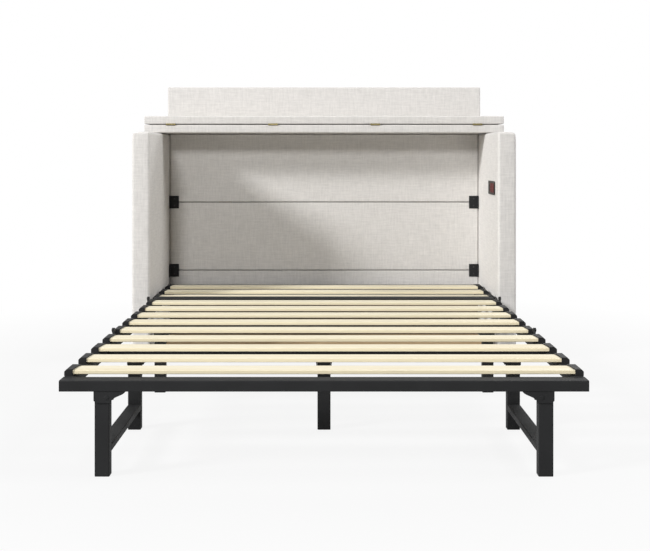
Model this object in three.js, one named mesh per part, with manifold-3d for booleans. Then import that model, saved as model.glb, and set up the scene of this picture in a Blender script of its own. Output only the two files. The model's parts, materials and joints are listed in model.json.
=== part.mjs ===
// Cabinet bed: an upholstered storage headboard with a folding lid, and a slatted steel
// bed frame in three sections that unfolds in front of it. Millimetres, +Z up.
// X runs across the bed. Y runs from the foot rail's front face to the cabinet's back.
import * as THREE from 'three';
import { RoundedBoxGeometry } from 'three/addons/geometries/RoundedBoxGeometry.js';
import { mergeVertices } from 'three/addons/utils/BufferGeometryUtils.js';
import Module from 'manifold-3d';

const wasm = await Module();
wasm.setup();

// Fits shared by all pieces
const seatGap = 0.3;
const weldLap = 1;
const pinClearance = 0.4;
const cutOverrun = 5;

// Driving dimensions of the bed frame
const frameWidth = 1520;
const legHeight = 245;
const railWidth = 33;
const railHeight = 32;
const tubeWall = 1.8;
const tubeCorner = 2.5;
const frontRailDepth = 50;
const crossTubeDepth = 36;
const railEndGap = 1.5;
const railBackGap = 4;

// Slats and their holders, counted from the foot rail
const slatCount = 12;
const slatPitch = 162;
const slatWidth = 64;
const slatThickness = 12;
const slatCorner = 3;
const holderLength = 69;
const holderDepth = 35;
const holderHeight = 20;
const holderMouthSlant = 10;
const holderChamfer = 7;
const holderEndWall = 8;
const holderLip = 4.2;
const firstHolderStart = 58;
const rearSlatCount = 3;
const midSlatCount = 5;

// Fold hinges between the sections
const foldAfterHolder = 10;
const foldBeforeHolder = 26;
const foldAboveHolder = 1.5;
const earThickness = 4;
const earRadius = 8;
const earGap = 1;
const earInset = 4;
const earBaseNear = 7;
const earBaseFar = 24;
const earHeel = 6;
const earBaseRise = 7;
const foldPinRadius = 4;
const foldPinHeadRadius = 6.5;
const pinHeadThickness = 1.5;

// Raised cross bar over the rear fold
const crossBarSetback = 3;
const crossBarDepth = 66;
const crossBarHeight = 20.7;
const crossBarEndInset = 17;

// Legs, their brackets and the low stretchers
const legWidth = 43;
const legDepth = 32;
const legInset = 101;
const legTopClearance = 3.5;
const legCapHeight = 5;
const legCapProud = 1.5;
const capInset = 0.4;
const frontLegSetback = 5.5;
const rearLegStart = 477;
const midLegStart = 983;
const stretcherBottom = 64;
const stretcherHeight = 21;
const centerLegWidth = 44;
const bracketPlate = 3;
const bracketPlateGap = 0.5;
const bracketDrop = 33;
const bracketLap = 2;
const bracketChamfer = 7;
const stopTabThickness = 2.4;
const stopTabClearance = 0.8;
const gussetReach = 47;
const gussetDrop = 23;
const gussetToe = 8;
const legPivotInset = 8;
const legPivotDrop = 17;
const legPinRadius = 4;
const legPinHeadRadius = 7;
const centerBracketReach = 14;
const ventRadius = 4;
const ventInset = 30;

// Driving dimensions of the cabinet
const frameSideClearance = 9;
const sidePanelThickness = 85;
const sidePanelDepth = 672;
const sidePanelTop = 1028;
const sidePanelCorner = 18;
const cabinetAheadOfHolder = 13;
const backWallDepth = 126;
const plankPitch = 340;
const plankSeam = 3;
const plankThickness = 40;
const plankCorner = 6;
const plankNames = ['lower', 'middle', 'upper'];
const plankFloorGap = 10;
const rearCoverThickness = 12;
const rearCoverCorner = 3;
const battenWidth = 60;
const battenSpacing = 1000;
const baseBoardDepth = 200;
const baseBoardThickness = 18;
const glideHeight = 4;
const glideRadius = 15;
const glideEndInset = 60;

// Corner plates over the plank seams
const cornerPlateWidth = 45;
const cornerPlateHeight = 63;
const cornerPlateThickness = 3;
const cornerPlateFlange = 18;
const screwHeadRadius = 4;
const screwHeadHeight = 1.6;
const screwRise = 17;

// Lid in two leaves, the front one folded back on the rear one
const lidOverhang = 6;
const leafThickness = 39;
const leafGap = 3;
const leafDepth = 336;
const leafCorner = 10;
const leafEdgeGap = 0.5;
const lidHingeLength = 45;
const lidHingeEndInset = 128;
const lidHingeCount = 4;
const knuckleCount = 5;
const knuckleRadius = 4.5;
const knuckleBoreRadius = 2;
const knuckleGap = 0.5;
const lidPinRadius = 1.6;
const hingePlateReach = 30;
const hingePlateStart = 5.5;
const hingePlateThickness = 0.9;
const hingePlateGap = 0.3;

// Upright panel behind the lid
const headboardWidth = 1604;
const headboardHeight = 1028;
const headboardTop = 1271;
const headboardThickness = 40;
const headboardCorner = 9;
const headboardSetback = 5;
const headboardStripWidth = 50;
const headboardStripHeight = 700;
const headboardStripSpacing = 1000;

// Charging unit in the right side panel's inner face
const chargerLength = 157;
const chargerHeight = 62;
const chargerStart = 74;
const chargerBottom = 742;
const chargerPlate = 2.5;
const chargerBodyInset = 4;
const chargerBodyDepth = 32;
const chargerCorner = 6;
const socketWidth = 38;
const socketHeight = 42;
const socketCorner = 7;
const socketProud = 1.2;
const socketSpacing = 44;
const portWidth = 20;
const portHeight = 34;
const portCorner = 3;

// Spacers that tie the rear rails to the side panels
const railMountLength = 60;
const railMountCount = 3;
const railMountInset = 4;

// Facet counts
const roundSegments = 2;
const arcSegments = 3;
const circleSegments = 10;
const pinSegments = 10;
const eyeSegments = 5;
const tubeSegments = 1;

// Places worked out from the driving dimensions
const plankCount = plankNames.length;
const frameHalf = frameWidth / 2;
const insideHalf = frameHalf + frameSideClearance;
const railTop = legHeight + railHeight;
const railInner = frameHalf - railWidth;
const holderBase = railTop;
const holderTop = holderBase + holderHeight;
const slatBase = holderBase + holderLip + seatGap;
const foldHeight = holderTop + foldAboveHolder;
const holderStart = (fromFoot) => firstHolderStart + slatPitch * fromFoot;
const footSlatCount = slatCount - rearSlatCount - midSlatCount;
const footFold = holderStart(footSlatCount) - foldBeforeHolder;
const midFold = holderStart(footSlatCount + midSlatCount - 1) + holderLength + foldAfterHolder;
const cabinetFront = holderStart(footSlatCount + midSlatCount) - cabinetAheadOfHolder;
const cabinetBack = cabinetFront + sidePanelDepth;
const plankFront = cabinetBack - backWallDepth;
const plankBack = plankFront + plankThickness;
const plankBottom = plankFloorGap;
const plankTop = plankSeam * 2 + plankPitch * plankCount;
const legOuter = frameHalf - legInset;
const legInner = legOuter - legWidth;
const legTop = legHeight - legTopClearance;
const legPivotX = legInner + legPivotInset;
const legPivotZ = legHeight - legPivotDrop;
const stopTabBottom = legPivotZ + legPivotInset + stopTabClearance;
const stopTabTop = legHeight + weldLap / 2;
const lidBase = sidePanelTop + seatGap;
const lidAxisZ = lidBase + leafThickness + leafGap / 2;
const lidAxisY = cabinetBack - leafDepth - leafEdgeGap;
const lidHalf = insideHalf + sidePanelThickness + lidOverhang;
const lidHingeSpacing = (lidHalf - lidHingeEndInset) * 2 / (lidHingeCount - 1);
const headboardFront = cabinetBack + headboardSetback;
const bedLength = headboardFront + headboardThickness;

// Finishes: colour, roughness and metalness
const linen = [0xe1ddda, 0.95, 0];
const birch = [0xf3e6c8, 0.55, 0];
const plywood = [0xc9a877, 0.7, 0];
const blackSteel = [0x323436, 0.45, 0.6];
const brass = [0xb98a3c, 0.3, 1];
const greyPlastic = [0x5a5753, 0.45, 0];

const bed = new THREE.Group();
bed.position.set(0, -bedLength / 2, 0);

function addPiece(group, name, geometry, finish) {
  const [color, roughness, metalness] = finish;
  const look = new THREE.MeshStandardMaterial({ color, roughness, metalness, flatShading: true });
  const piece = new THREE.Mesh(geometry, look);
  piece.name = name;
  group.add(piece);
  return piece;
}

// Keeps only the positions, with shared corners merged
function bare(geometry) {
  const copy = geometry.clone();
  copy.deleteAttribute('normal');
  copy.deleteAttribute('uv');
  return mergeVertices(copy);
}

function toSolid(geometry) {
  const merged = bare(geometry);
  return new wasm.Manifold(new wasm.Mesh({
    numProp: 3,
    vertProperties: Float32Array.from(merged.attributes.position.array),
    triVerts: Uint32Array.from(merged.index.array),
  }));
}

function toGeometry(solid) {
  const mesh = solid.getMesh();
  const geometry = new THREE.BufferGeometry();
  geometry.setAttribute('position', new THREE.BufferAttribute(mesh.vertProperties, mesh.numProp));
  geometry.setIndex(new THREE.BufferAttribute(mesh.triVerts, 1));
  return geometry;
}

function cut(geometry, ...tools) {
  let solid = toSolid(geometry);
  for (const tool of tools) {
    solid = solid.subtract(toSolid(tool));
  }
  return toGeometry(solid);
}

function join(...geometries) {
  let solid = toSolid(geometries[0]);
  for (const other of geometries.slice(1)) {
    solid = solid.add(toSolid(other));
  }
  return toGeometry(solid);
}

// A box between its lowest and its highest corner
function block(low, high) {
  const size = high.map((value, axis) => value - low[axis]);
  const middle = high.map((value, axis) => (value + low[axis]) / 2);
  return new THREE.BoxGeometry(...size).translate(...middle);
}

// A padded board between two corners, with every edge rounded
function paddedBlock(low, high, radius) {
  const size = high.map((value, axis) => value - low[axis]);
  const middle = high.map((value, axis) => (value + low[axis]) / 2);
  return new RoundedBoxGeometry(...size, roundSegments, radius).translate(...middle);
}

function mirroredX(low, high, side) {
  const ends = [low[0] * side, high[0] * side];
  return [
    [Math.min(...ends), low[1], low[2]],
    [Math.max(...ends), high[1], high[2]],
  ];
}

// Pushes an outline along X, from the plane x = start; outline axes are Y and Z
function prismX(shape, start, depth, segments = arcSegments) {
  const options = { depth, bevelEnabled: false, curveSegments: segments };
  const turn = new THREE.Matrix4().makeBasis(
    new THREE.Vector3(0, 1, 0), new THREE.Vector3(0, 0, 1), new THREE.Vector3(1, 0, 0),
  );
  return new THREE.ExtrudeGeometry(shape, options).applyMatrix4(turn).translate(start, 0, 0);
}

// Pushes an outline along Y, from the plane y = start; outline axes are X and Z
function prismY(shape, start, depth, segments = arcSegments) {
  const options = { depth, bevelEnabled: false, curveSegments: segments };
  const geometry = new THREE.ExtrudeGeometry(shape, options);
  return geometry.rotateX(Math.PI / 2).translate(0, start + depth, 0);
}

// Pushes an outline along Z, from the plane z = start; outline axes are X and Y
function prismZ(shape, start, depth, segments = arcSegments) {
  const options = { depth, bevelEnabled: false, curveSegments: segments };
  return new THREE.ExtrudeGeometry(shape, options).translate(0, 0, start);
}

function roundedOutline(low, high, radius, path = new THREE.Shape()) {
  const [left, bottom] = low;
  const [right, top] = high;
  const quarter = Math.PI / 2;
  path.moveTo(left + radius, bottom);
  path.lineTo(right - radius, bottom);
  path.absarc(right - radius, bottom + radius, radius, -quarter, 0);
  path.lineTo(right, top - radius);
  path.absarc(right - radius, top - radius, radius, 0, quarter);
  path.lineTo(left + radius, top);
  path.absarc(left + radius, top - radius, radius, quarter, quarter * 2);
  path.lineTo(left, bottom + radius);
  path.absarc(left + radius, bottom + radius, radius, quarter * 2, quarter * 3);
  return path;
}

// The section of a hollow steel tube
function tubeOutline(low, high) {
  const outline = roundedOutline(low, high, tubeCorner);
  const innerLow = low.map((value) => value + tubeWall);
  const innerHigh = high.map((value) => value - tubeWall);
  outline.holes.push(roundedOutline(innerLow, innerHigh, tubeCorner - tubeWall, new THREE.Path()));
  return outline;
}

function tubeAlongX(low, high) {
  const outline = tubeOutline([low[1], low[2]], [high[1], high[2]]);
  return prismX(outline, low[0], high[0] - low[0], tubeSegments);
}

function tubeAlongY(low, high) {
  const outline = tubeOutline([low[0], low[2]], [high[0], high[2]]);
  return prismY(outline, low[1], high[1] - low[1], tubeSegments);
}

function tubeAlongZ(low, high) {
  const outline = tubeOutline([low[0], low[1]], [high[0], high[1]]);
  return prismZ(outline, low[2], high[2] - low[2], tubeSegments);
}

const alongX = (geometry) => geometry.rotateZ(-Math.PI / 2);
const alongY = (geometry) => geometry;
const alongZ = (geometry) => geometry.rotateX(Math.PI / 2);

function rod(turn, radius, length, middle, segments = circleSegments) {
  return turn(new THREE.CylinderGeometry(radius, radius, length, segments)).translate(...middle);
}

// A pin with a flat head at each end; length is the clear length between the heads
function headedPin(turn, radius, headRadius, length, middle) {
  const inside = length / 2;
  const outside = inside + pinHeadThickness;
  const profile = [
    new THREE.Vector2(0, -outside),
    new THREE.Vector2(headRadius, -outside),
    new THREE.Vector2(headRadius, -inside),
    new THREE.Vector2(radius, -inside),
    new THREE.Vector2(radius, inside),
    new THREE.Vector2(headRadius, inside),
    new THREE.Vector2(headRadius, outside),
    new THREE.Vector2(0, outside),
  ];
  return turn(new THREE.LatheGeometry(profile, pinSegments)).translate(...middle);
}

function drilled(geometry, turn, radius, length, middle) {
  return cut(geometry, rod(turn, radius, length, middle));
}

// Upholstered side panel, standing on two glides
function sidePanel(side) {
  const low = [insideHalf, cabinetFront, glideHeight];
  const high = [insideHalf + sidePanelThickness, cabinetBack, sidePanelTop];
  const panel = paddedBlock(...mirroredX(low, high, side), sidePanelCorner);
  const x = (insideHalf + sidePanelThickness / 2) * side;
  const glides = [cabinetFront + glideEndInset, cabinetBack - glideEndInset].map(
    (y) => rod(alongZ, glideRadius, glideHeight * 2, [x, y, glideHeight]),
  );
  return join(panel, ...glides);
}

function chargerBody(grow) {
  const inset = chargerBodyInset - grow;
  return block(
    [insideHalf - grow, cabinetFront + chargerStart + inset, chargerBottom + inset],
    [
      insideHalf + chargerBodyDepth + grow,
      cabinetFront + chargerStart + chargerLength - inset,
      chargerBottom + chargerHeight - inset,
    ],
  );
}

// The charger's recessed body, its plate, and the socket faces and port block on it
function chargingUnit() {
  const start = cabinetFront + chargerStart;
  const middleY = start + chargerLength / 2;
  const middleZ = chargerBottom + chargerHeight / 2;
  const back = insideHalf - seatGap;
  const panel = (y, width, height, corner, proud, sunk) => prismX(
    roundedOutline(
      [y - width / 2, middleZ - height / 2], [y + width / 2, middleZ + height / 2], corner,
    ),
    back - chargerPlate - proud,
    proud + sunk,
  );
  const inset = chargerBodyInset * 2;
  const neck = block(
    [back - chargerPlate / 2, start + inset, chargerBottom + inset],
    [
      insideHalf + chargerBodyDepth / 2,
      start + chargerLength - inset,
      chargerBottom + chargerHeight - inset,
    ],
  );
  return join(
    panel(middleY, chargerLength, chargerHeight, chargerCorner, 0, chargerPlate),
    panel(middleY - socketSpacing, socketWidth, socketHeight, socketCorner, socketProud, weldLap),
    panel(middleY, socketWidth, socketHeight, socketCorner, socketProud, weldLap),
    panel(middleY + socketSpacing, portWidth, portHeight, portCorner, socketProud, weldLap),
    neck,
    chargerBody(0),
  );
}

// One upholstered plank of the back wall, counted from the floor
function backPlank(index) {
  const bottom = index === 0 ? plankBottom : plankPitch * index + plankSeam * 3;
  const top = plankPitch * (index + 1) + plankSeam * 2;
  const half = insideHalf - seatGap;
  return paddedBlock([-half, plankFront, bottom], [half, plankBack, top], plankCorner);
}

function backBatten(side) {
  const x = battenSpacing / 2 * side;
  return block(
    [x - battenWidth / 2, plankBack + seatGap, plankBottom],
    [x + battenWidth / 2, cabinetBack - rearCoverThickness - seatGap, plankTop],
  );
}

function rearCover() {
  const half = insideHalf - seatGap;
  const low = [-half, cabinetBack - rearCoverThickness, plankBottom];
  return paddedBlock(low, [half, cabinetBack, plankTop], rearCoverCorner);
}

function baseBoard() {
  const half = insideHalf - seatGap;
  const low = [-half, plankFront - seatGap - baseBoardDepth, plankBottom];
  return block(low, [half, plankFront - seatGap, plankBottom + baseBoardThickness]);
}

// Angle plate that holds two planks' ends at a seam, with its two screws
function cornerPlate(side, seam) {
  const z = plankPitch * seam + plankSeam * 2 + plankSeam / 2;
  const low = z - cornerPlateHeight / 2;
  const high = z + cornerPlateHeight / 2;
  const wall = insideHalf - seatGap;
  const face = plankFront - seatGap;
  const onPlank = block(...mirroredX(
    [wall - cornerPlateWidth, face - cornerPlateThickness, low], [wall, face, high], side,
  ));
  const onPanel = block(...mirroredX(
    [wall - cornerPlateThickness, face - cornerPlateFlange, low], [wall, face, high], side,
  ));
  const screwX = (wall - cornerPlateWidth / 2) * side;
  const heads = [-1, 1].map((step) => rod(
    alongY, screwHeadRadius, screwHeadHeight * 2,
    [screwX, face - cornerPlateThickness, z + screwRise * step],
  ));
  return join(onPlank, onPanel, ...heads);
}

function lidLeaf(base) {
  const front = lidAxisY + leafEdgeGap;
  const high = [lidHalf, front + leafDepth, base + leafThickness];
  return paddedBlock([-lidHalf, front, base], high, leafCorner);
}

const knucklePitch = lidHingeLength / knuckleCount;
const hingePlaces = Array.from(
  { length: lidHingeCount }, (_, index) => lidHingeSpacing * (index - (lidHingeCount - 1) / 2),
);

// One flap of a lid hinge: its plate, tabs and every second knuckle
function hingeFlap(place, first, plateLow) {
  const plateHigh = plateLow + hingePlateThickness;
  const half = lidHingeLength / 2;
  let flap = block(
    [place - half, lidAxisY + hingePlateStart, plateLow],
    [place + half, lidAxisY + hingePlateReach, plateHigh],
  );
  for (let index = first; index < knuckleCount; index += 2) {
    const middle = place - half + knucklePitch * (index + 0.5);
    const reach = (knucklePitch - knuckleGap) / 2;
    const knuckle = rod(
      alongX, knuckleRadius, reach * 2, [middle, lidAxisY, lidAxisZ], pinSegments,
    );
    const tab = block(
      [middle - reach, lidAxisY + knuckleBoreRadius, plateLow],
      [middle + reach, lidAxisY + hingePlateStart + leafEdgeGap, plateHigh],
    );
    flap = join(flap, knuckle, tab);
  }
  return flap;
}

// The fixed flap carries the pin
function lidHingeFixed(place) {
  const flap = hingeFlap(place, 0, lidBase + leafThickness + hingePlateGap);
  const pin = rod(
    alongX, lidPinRadius, lidHingeLength - knuckleGap, [place, lidAxisY, lidAxisZ], pinSegments,
  );
  return join(flap, pin);
}

function lidHingeMoving(place) {
  const plateLow = lidBase + leafThickness + leafGap - hingePlateGap - hingePlateThickness;
  const bore = rod(
    alongX, knuckleBoreRadius, lidHingeLength + cutOverrun, [place, lidAxisY, lidAxisZ], pinSegments,
  );
  return cut(hingeFlap(place, 1, plateLow), bore);
}

function headboardPanel() {
  const half = headboardWidth / 2;
  const low = [-half, headboardFront, headboardTop - headboardHeight];
  return paddedBlock(low, [half, bedLength, headboardTop], headboardCorner);
}

// Flat steel strip between the cabinet's back and the upright panel
function headboardBracket(side) {
  const top = plankTop - battenWidth / 2;
  const x = headboardStripSpacing / 2 * side;
  return block(
    [x - headboardStripWidth / 2, cabinetBack + seatGap, top - headboardStripHeight],
    [x + headboardStripWidth / 2, headboardFront - seatGap, top],
  );
}

function sideRail(side, start, end) {
  return tubeAlongY(...mirroredX([railInner, start, legHeight], [frameHalf, end, railTop], side));
}

function crossTube(start) {
  const half = railInner - seatGap;
  return tubeAlongX([-half, start, legHeight], [half, start + crossTubeDepth, railTop]);
}

// The foot rail: a closed tube with vent holes below, and the front legs' brackets
function frontRail() {
  const half = frameHalf - bracketPlate / 2;
  const tube = tubeAlongX([-half, 0, legHeight], [half, frontRailDepth, railTop]);
  const pieces = [-1, 1].flatMap((side) => [
    block(...mirroredX(
      [frameHalf - bracketPlate, capInset, legHeight + capInset],
      [frameHalf, frontRailDepth - capInset, railTop - capInset],
      side,
    )),
    legBracket(side, frontLegSetback),
  ]);
  const vents = [-1, 1].map((side) => rod(
    alongZ, ventRadius, tubeWall * 4, [(frameHalf - ventInset) * side, frontRailDepth / 2, legHeight],
  ));
  return cut(join(tube, ...pieces), ...vents);
}

function hingeCrossBar() {
  const half = frameHalf - crossBarEndInset;
  const start = midFold + crossBarSetback;
  const low = [-half, start, railTop + seatGap];
  return tubeAlongX(low, [half, start + crossBarDepth, railTop + crossBarHeight]);
}

// Spacers that carry a rear rail on the side panel beside it
function railMounts(side) {
  const first = cabinetFront + railMountLength;
  const last = plankFront - railMountLength;
  const steps = Array.from({ length: railMountCount }, (_, index) => index / (railMountCount - 1));
  return steps.map((share) => {
    const y = first + (last - first) * share;
    return block(...mirroredX(
      [frameHalf - tubeWall / 2, y - railMountLength / 2, legHeight + railMountInset],
      [insideHalf - seatGap, y + railMountLength / 2, railTop - railMountInset],
      side,
    ));
  });
}

// A slat is drawn at the first holder and then moved to its own
function slat() {
  const start = firstHolderStart + (holderLength - slatWidth) / 2;
  const half = frameHalf - holderEndWall - seatGap;
  const high = [start + slatWidth, slatBase + slatThickness];
  const outline = roundedOutline([start, slatBase], high, slatCorner);
  return prismX(outline, -half, half * 2, roundSegments);
}

// Plastic end holder: a block with a chamfered top, a slanted mouth and the slat's pocket
function slatHolder(side, start) {
  const section = new THREE.Shape();
  section.moveTo(frameHalf - holderDepth, holderBase);
  section.lineTo(railInner, holderBase);
  section.lineTo(railInner + tubeCorner, holderBase - weldLap);
  section.lineTo(frameHalf - tubeCorner, holderBase - weldLap);
  section.lineTo(frameHalf, holderBase);
  section.lineTo(frameHalf, holderTop - holderChamfer);
  section.lineTo(frameHalf - holderChamfer, holderTop);
  section.lineTo(frameHalf - holderDepth, holderTop);
  const plan = new THREE.Shape();
  const back = frameHalf - holderDepth;
  plan.moveTo(frameHalf + cutOverrun, start);
  plan.lineTo(frameHalf + cutOverrun, start + holderLength);
  plan.lineTo(back, start + holderLength);
  plan.quadraticCurveTo(
    back + holderMouthSlant / 2, start + holderLength, back + holderMouthSlant, start,
  );
  const pocketStart = start + (holderLength - slatWidth) / 2 - seatGap;
  const pocket = block(
    [back - cutOverrun, pocketStart, slatBase - seatGap],
    [
      frameHalf - holderEndWall,
      pocketStart + slatWidth + seatGap * 2,
      slatBase + slatThickness + seatGap,
    ],
  );
  const body = toSolid(prismY(section, start, holderLength));
  const rim = toSolid(prismZ(plan, holderBase - cutOverrun, holderHeight + cutOverrun * 2));
  const holder = toGeometry(body.intersect(rim).subtract(toSolid(pocket)));
  if (side > 0) {
    return holder;
  }
  const mirrored = holder.clone().applyMatrix4(new THREE.Matrix4().makeScale(-1, 1, 1));
  const corners = mirrored.index.array;
  for (let index = 0; index < corners.length; index += 3) {
    [corners[index], corners[index + 1]] = [corners[index + 1], corners[index]];
  }
  return mirrored;
}

function slatHolders(side, first, count) {
  const places = Array.from({ length: count }, (_, index) => holderStart(first + index));
  return places.map((start) => slatHolder(side, start));
}

// Hinge ear; direction +1 stands behind the fold, -1 in front of it
function hingeEar(side, fold, direction, low, ears) {
  const base = ears.base - foldHeight;
  const start = Math.PI / 3;
  const outline = new THREE.Shape();
  outline.moveTo(earBaseNear, base);
  outline.lineTo(earBaseFar, base);
  outline.lineTo(earBaseFar, base + ears.heel);
  outline.absarc(0, 0, earRadius, start, start * 4);
  const placed = new THREE.Shape(outline.getPoints(eyeSegments).map(
    (point) => new THREE.Vector2(fold + point.x * direction, foldHeight + point.y),
  ));
  const [inner, outer] = mirroredX([low, 0, 0], [low + earThickness, 0, 0], side);
  return prismX(placed, inner[0], outer[0] - inner[0]);
}

// The foot fold's ears stand on the rails, the rear fold's beside them
const footEars = {
  low: frameHalf - earInset - earThickness * 2 - earGap,
  base: railTop - weldLap,
  heel: earHeel,
};
const midEars = {
  low: frameHalf - weldLap / 2,
  base: legHeight + earBaseRise,
  heel: railHeight - earBaseRise,
};

// Ear of the section behind a fold, with the pin that the other ear turns on
function outerEar(side, fold, ears) {
  const length = earThickness + earGap * 2 + weldLap;
  const pin = headedPin(
    alongX, foldPinRadius, foldPinHeadRadius, length,
    [(ears.low + (earThickness + weldLap) / 2) * side, fold, foldHeight],
  );
  return join(hingeEar(side, fold, 1, ears.low + earThickness + earGap, ears), pin);
}

// Block between the rear rail and its ear, which stands off the rail's side
function earSpacer(side) {
  return block(...mirroredX(
    [midEars.low, midFold + earBaseNear + earInset, midEars.base],
    [
      midEars.low + earThickness + earGap + weldLap,
      midFold + earBaseFar,
      midEars.base + midEars.heel / 2,
    ],
    side,
  ));
}

function innerEar(side, fold, ears) {
  const middle = [(ears.low + earThickness / 2) * side, fold, foldHeight];
  return drilled(
    hingeEar(side, fold, -1, ears.low, ears), alongX,
    foldPinRadius + pinClearance, earThickness * 2, middle,
  );
}

// One cheek of a leg bracket, with the curved gusset on its inner side
function bracketOutline() {
  const outline = new THREE.Shape();
  const top = legHeight;
  const outer = legOuter + bracketLap;
  outline.moveTo(outer, top + weldLap);
  outline.lineTo(legInner - gussetReach, top + weldLap);
  outline.lineTo(legInner - gussetReach, top);
  outline.bezierCurveTo(
    legInner - gussetReach + gussetToe, top - gussetDrop / 2,
    legInner - gussetReach / 2, top - gussetDrop / 2,
    legInner - gussetToe, top - gussetDrop,
  );
  outline.lineTo(legInner - gussetToe / 2, top - bracketDrop);
  outline.lineTo(outer - bracketChamfer, top - bracketDrop);
  outline.lineTo(outer, top - bracketDrop + bracketChamfer);
  return outline;
}

function mirrorShape(shape, side, segments) {
  return new THREE.Shape(shape.getPoints(segments).map(
    (point) => new THREE.Vector2(point.x * side, point.y),
  ));
}

// Two cheeks around a leg's top, the pin between them, and a stop tab above the pin that
// the leg's inner face rests on and swings away from
function legBracket(side, legStart) {
  const shape = mirrorShape(bracketOutline(), side, eyeSegments);
  const front = legStart - bracketPlateGap - bracketPlate;
  const back = legStart + legDepth + bracketPlateGap;
  const tab = block(...mirroredX(
    [legInner - stopTabThickness, front + weldLap, stopTabBottom],
    [legInner - seatGap, back + bracketPlate - weldLap, stopTabTop],
    side,
  ));
  const pinLength = legDepth + (bracketPlate + bracketPlateGap) * 2 - weldLap;
  const pin = headedPin(
    alongY, legPinRadius, legPinHeadRadius, pinLength,
    [legPivotX * side, legStart + legDepth / 2, legPivotZ],
  );
  return join(prismY(shape, front, bracketPlate), prismY(shape, back, bracketPlate), tab, pin);
}

// Plastic foot plugged into the lower end of a leg
function legCap(low, high) {
  const outline = roundedOutline(
    [low[0] + capInset, low[1] + capInset], [high[0] - capInset, high[1] - capInset], tubeCorner,
  );
  return prismZ(outline, 0, legCapHeight, tubeSegments);
}

// A hollow leg with its foot, drilled for its pivot pin
function leg(side, legStart) {
  const [low, high] = mirroredX(
    [legInner, legStart, legCapProud], [legOuter, legStart + legDepth, legTop], side,
  );
  const tube = drilled(
    tubeAlongZ(low, high), alongY, legPinRadius + pinClearance, legDepth + cutOverrun,
    [legPivotX * side, legStart + legDepth / 2, legPivotZ],
  );
  return join(tube, legCap(low, high));
}

function stretcher(side) {
  return tubeAlongY(...mirroredX(
    [legInner, frontLegSetback + legDepth + seatGap, stretcherBottom],
    [legOuter, rearLegStart - seatGap, stretcherBottom + stretcherHeight],
    side,
  ));
}

const centerPivotY = rearLegStart + legPivotInset;

function centerLeg() {
  const half = centerLegWidth / 2;
  const low = [-half, rearLegStart, legCapProud];
  const high = [half, rearLegStart + legDepth, legTop];
  const tube = drilled(
    tubeAlongZ(low, high), alongX,
    legPinRadius + pinClearance, centerLegWidth + cutOverrun, [0, centerPivotY, legPivotZ],
  );
  return join(tube, legCap(low, high));
}

// The center leg folds forward, so its stop tab is in front of its top
function centerLegBracket() {
  const inner = centerLegWidth / 2 + bracketPlateGap;
  const front = rearLegStart - centerBracketReach;
  const back = rearLegStart + legDepth + bracketLap;
  const low = legHeight - bracketDrop;
  const outline = new THREE.Shape();
  outline.moveTo(back, legHeight + weldLap);
  outline.lineTo(back, low);
  outline.lineTo(rearLegStart, low);
  outline.lineTo(front, legHeight - bracketDrop / 2);
  outline.lineTo(front, legHeight + weldLap);
  const cheeks = [-1, 1].map((side) => {
    const [start, end] = mirroredX([inner, 0, 0], [inner + bracketPlate, 0, 0], side);
    return prismX(outline, start[0], end[0] - start[0]);
  });
  const tabHalf = inner + bracketPlate / 2;
  const tab = block(
    [-tabHalf, rearLegStart - stopTabThickness, stopTabBottom],
    [tabHalf, rearLegStart - seatGap, stopTabTop],
  );
  const pinLength = centerLegWidth + (bracketPlate + bracketPlateGap) * 2 - weldLap;
  const pin = headedPin(
    alongX, legPinRadius, legPinHeadRadius, pinLength, [0, centerPivotY, legPivotZ],
  );
  return join(...cheeks, tab, pin);
}

function addSlats(group, first, count) {
  for (let index = first; index < first + count; index += 1) {
    const number = String(slatCount - index).padStart(2, '0');
    addPiece(group, `slat_${number}`, slat(), birch).position.y = slatPitch * index;
  }
}

const sides = [['left', -1], ['right', 1]];

function buildCabinet() {
  const cabinet = new THREE.Group();
  const recess = chargerBody(seatGap);
  addPiece(cabinet, 'side_panel_left', sidePanel(-1), linen);
  addPiece(cabinet, 'side_panel_right', cut(sidePanel(1), recess), linen);
  addPiece(cabinet, 'charging_unit', chargingUnit(), greyPlastic);
  plankNames.forEach((name, index) => {
    addPiece(cabinet, `back_plank_${name}`, backPlank(index), linen);
  });
  addPiece(cabinet, 'rear_cover', rearCover(), linen);
  addPiece(cabinet, 'base_board', baseBoard(), plywood);
  addPiece(cabinet, 'headboard_panel', headboardPanel(), linen);
  for (const [name, side] of sides) {
    addPiece(cabinet, `back_batten_${name}`, backBatten(side), plywood);
    addPiece(cabinet, `headboard_bracket_${name}`, headboardBracket(side), blackSteel);
    addPiece(cabinet, `corner_plate_lower_${name}`, cornerPlate(side, 1), blackSteel);
    addPiece(cabinet, `corner_plate_upper_${name}`, cornerPlate(side, plankCount - 1), blackSteel);
  }
  return cabinet;
}

function buildLid() {
  const lid = new THREE.Group();
  addPiece(lid, 'lid_rear_leaf', lidLeaf(lidBase), linen);
  addPiece(lid, 'lid_front_leaf', lidLeaf(lidBase + leafThickness + leafGap), linen);
  hingePlaces.forEach((place, index) => {
    addPiece(lid, `lid_hinge_fixed_${index + 1}`, lidHingeFixed(place), brass);
    addPiece(lid, `lid_hinge_moving_${index + 1}`, lidHingeMoving(place), brass);
  });
  return lid;
}

function buildRearSection() {
  const section = new THREE.Group();
  const first = footSlatCount + midSlatCount;
  const start = midFold + railEndGap;
  const end = plankFront - railBackGap;
  for (const [name, side] of sides) {
    const rail = join(
      sideRail(side, start, end),
      ...slatHolders(side, first, rearSlatCount),
      ...railMounts(side),
      outerEar(side, midFold, midEars),
      earSpacer(side),
    );
    addPiece(section, `rear_rail_${name}`, rail, blackSteel);
  }
  addPiece(section, 'rear_cross_tube', crossTube(end - crossTubeDepth), blackSteel);
  addPiece(section, 'hinge_cross_bar', hingeCrossBar(), blackSteel);
  addSlats(section, first, rearSlatCount);
  return section;
}

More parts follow.
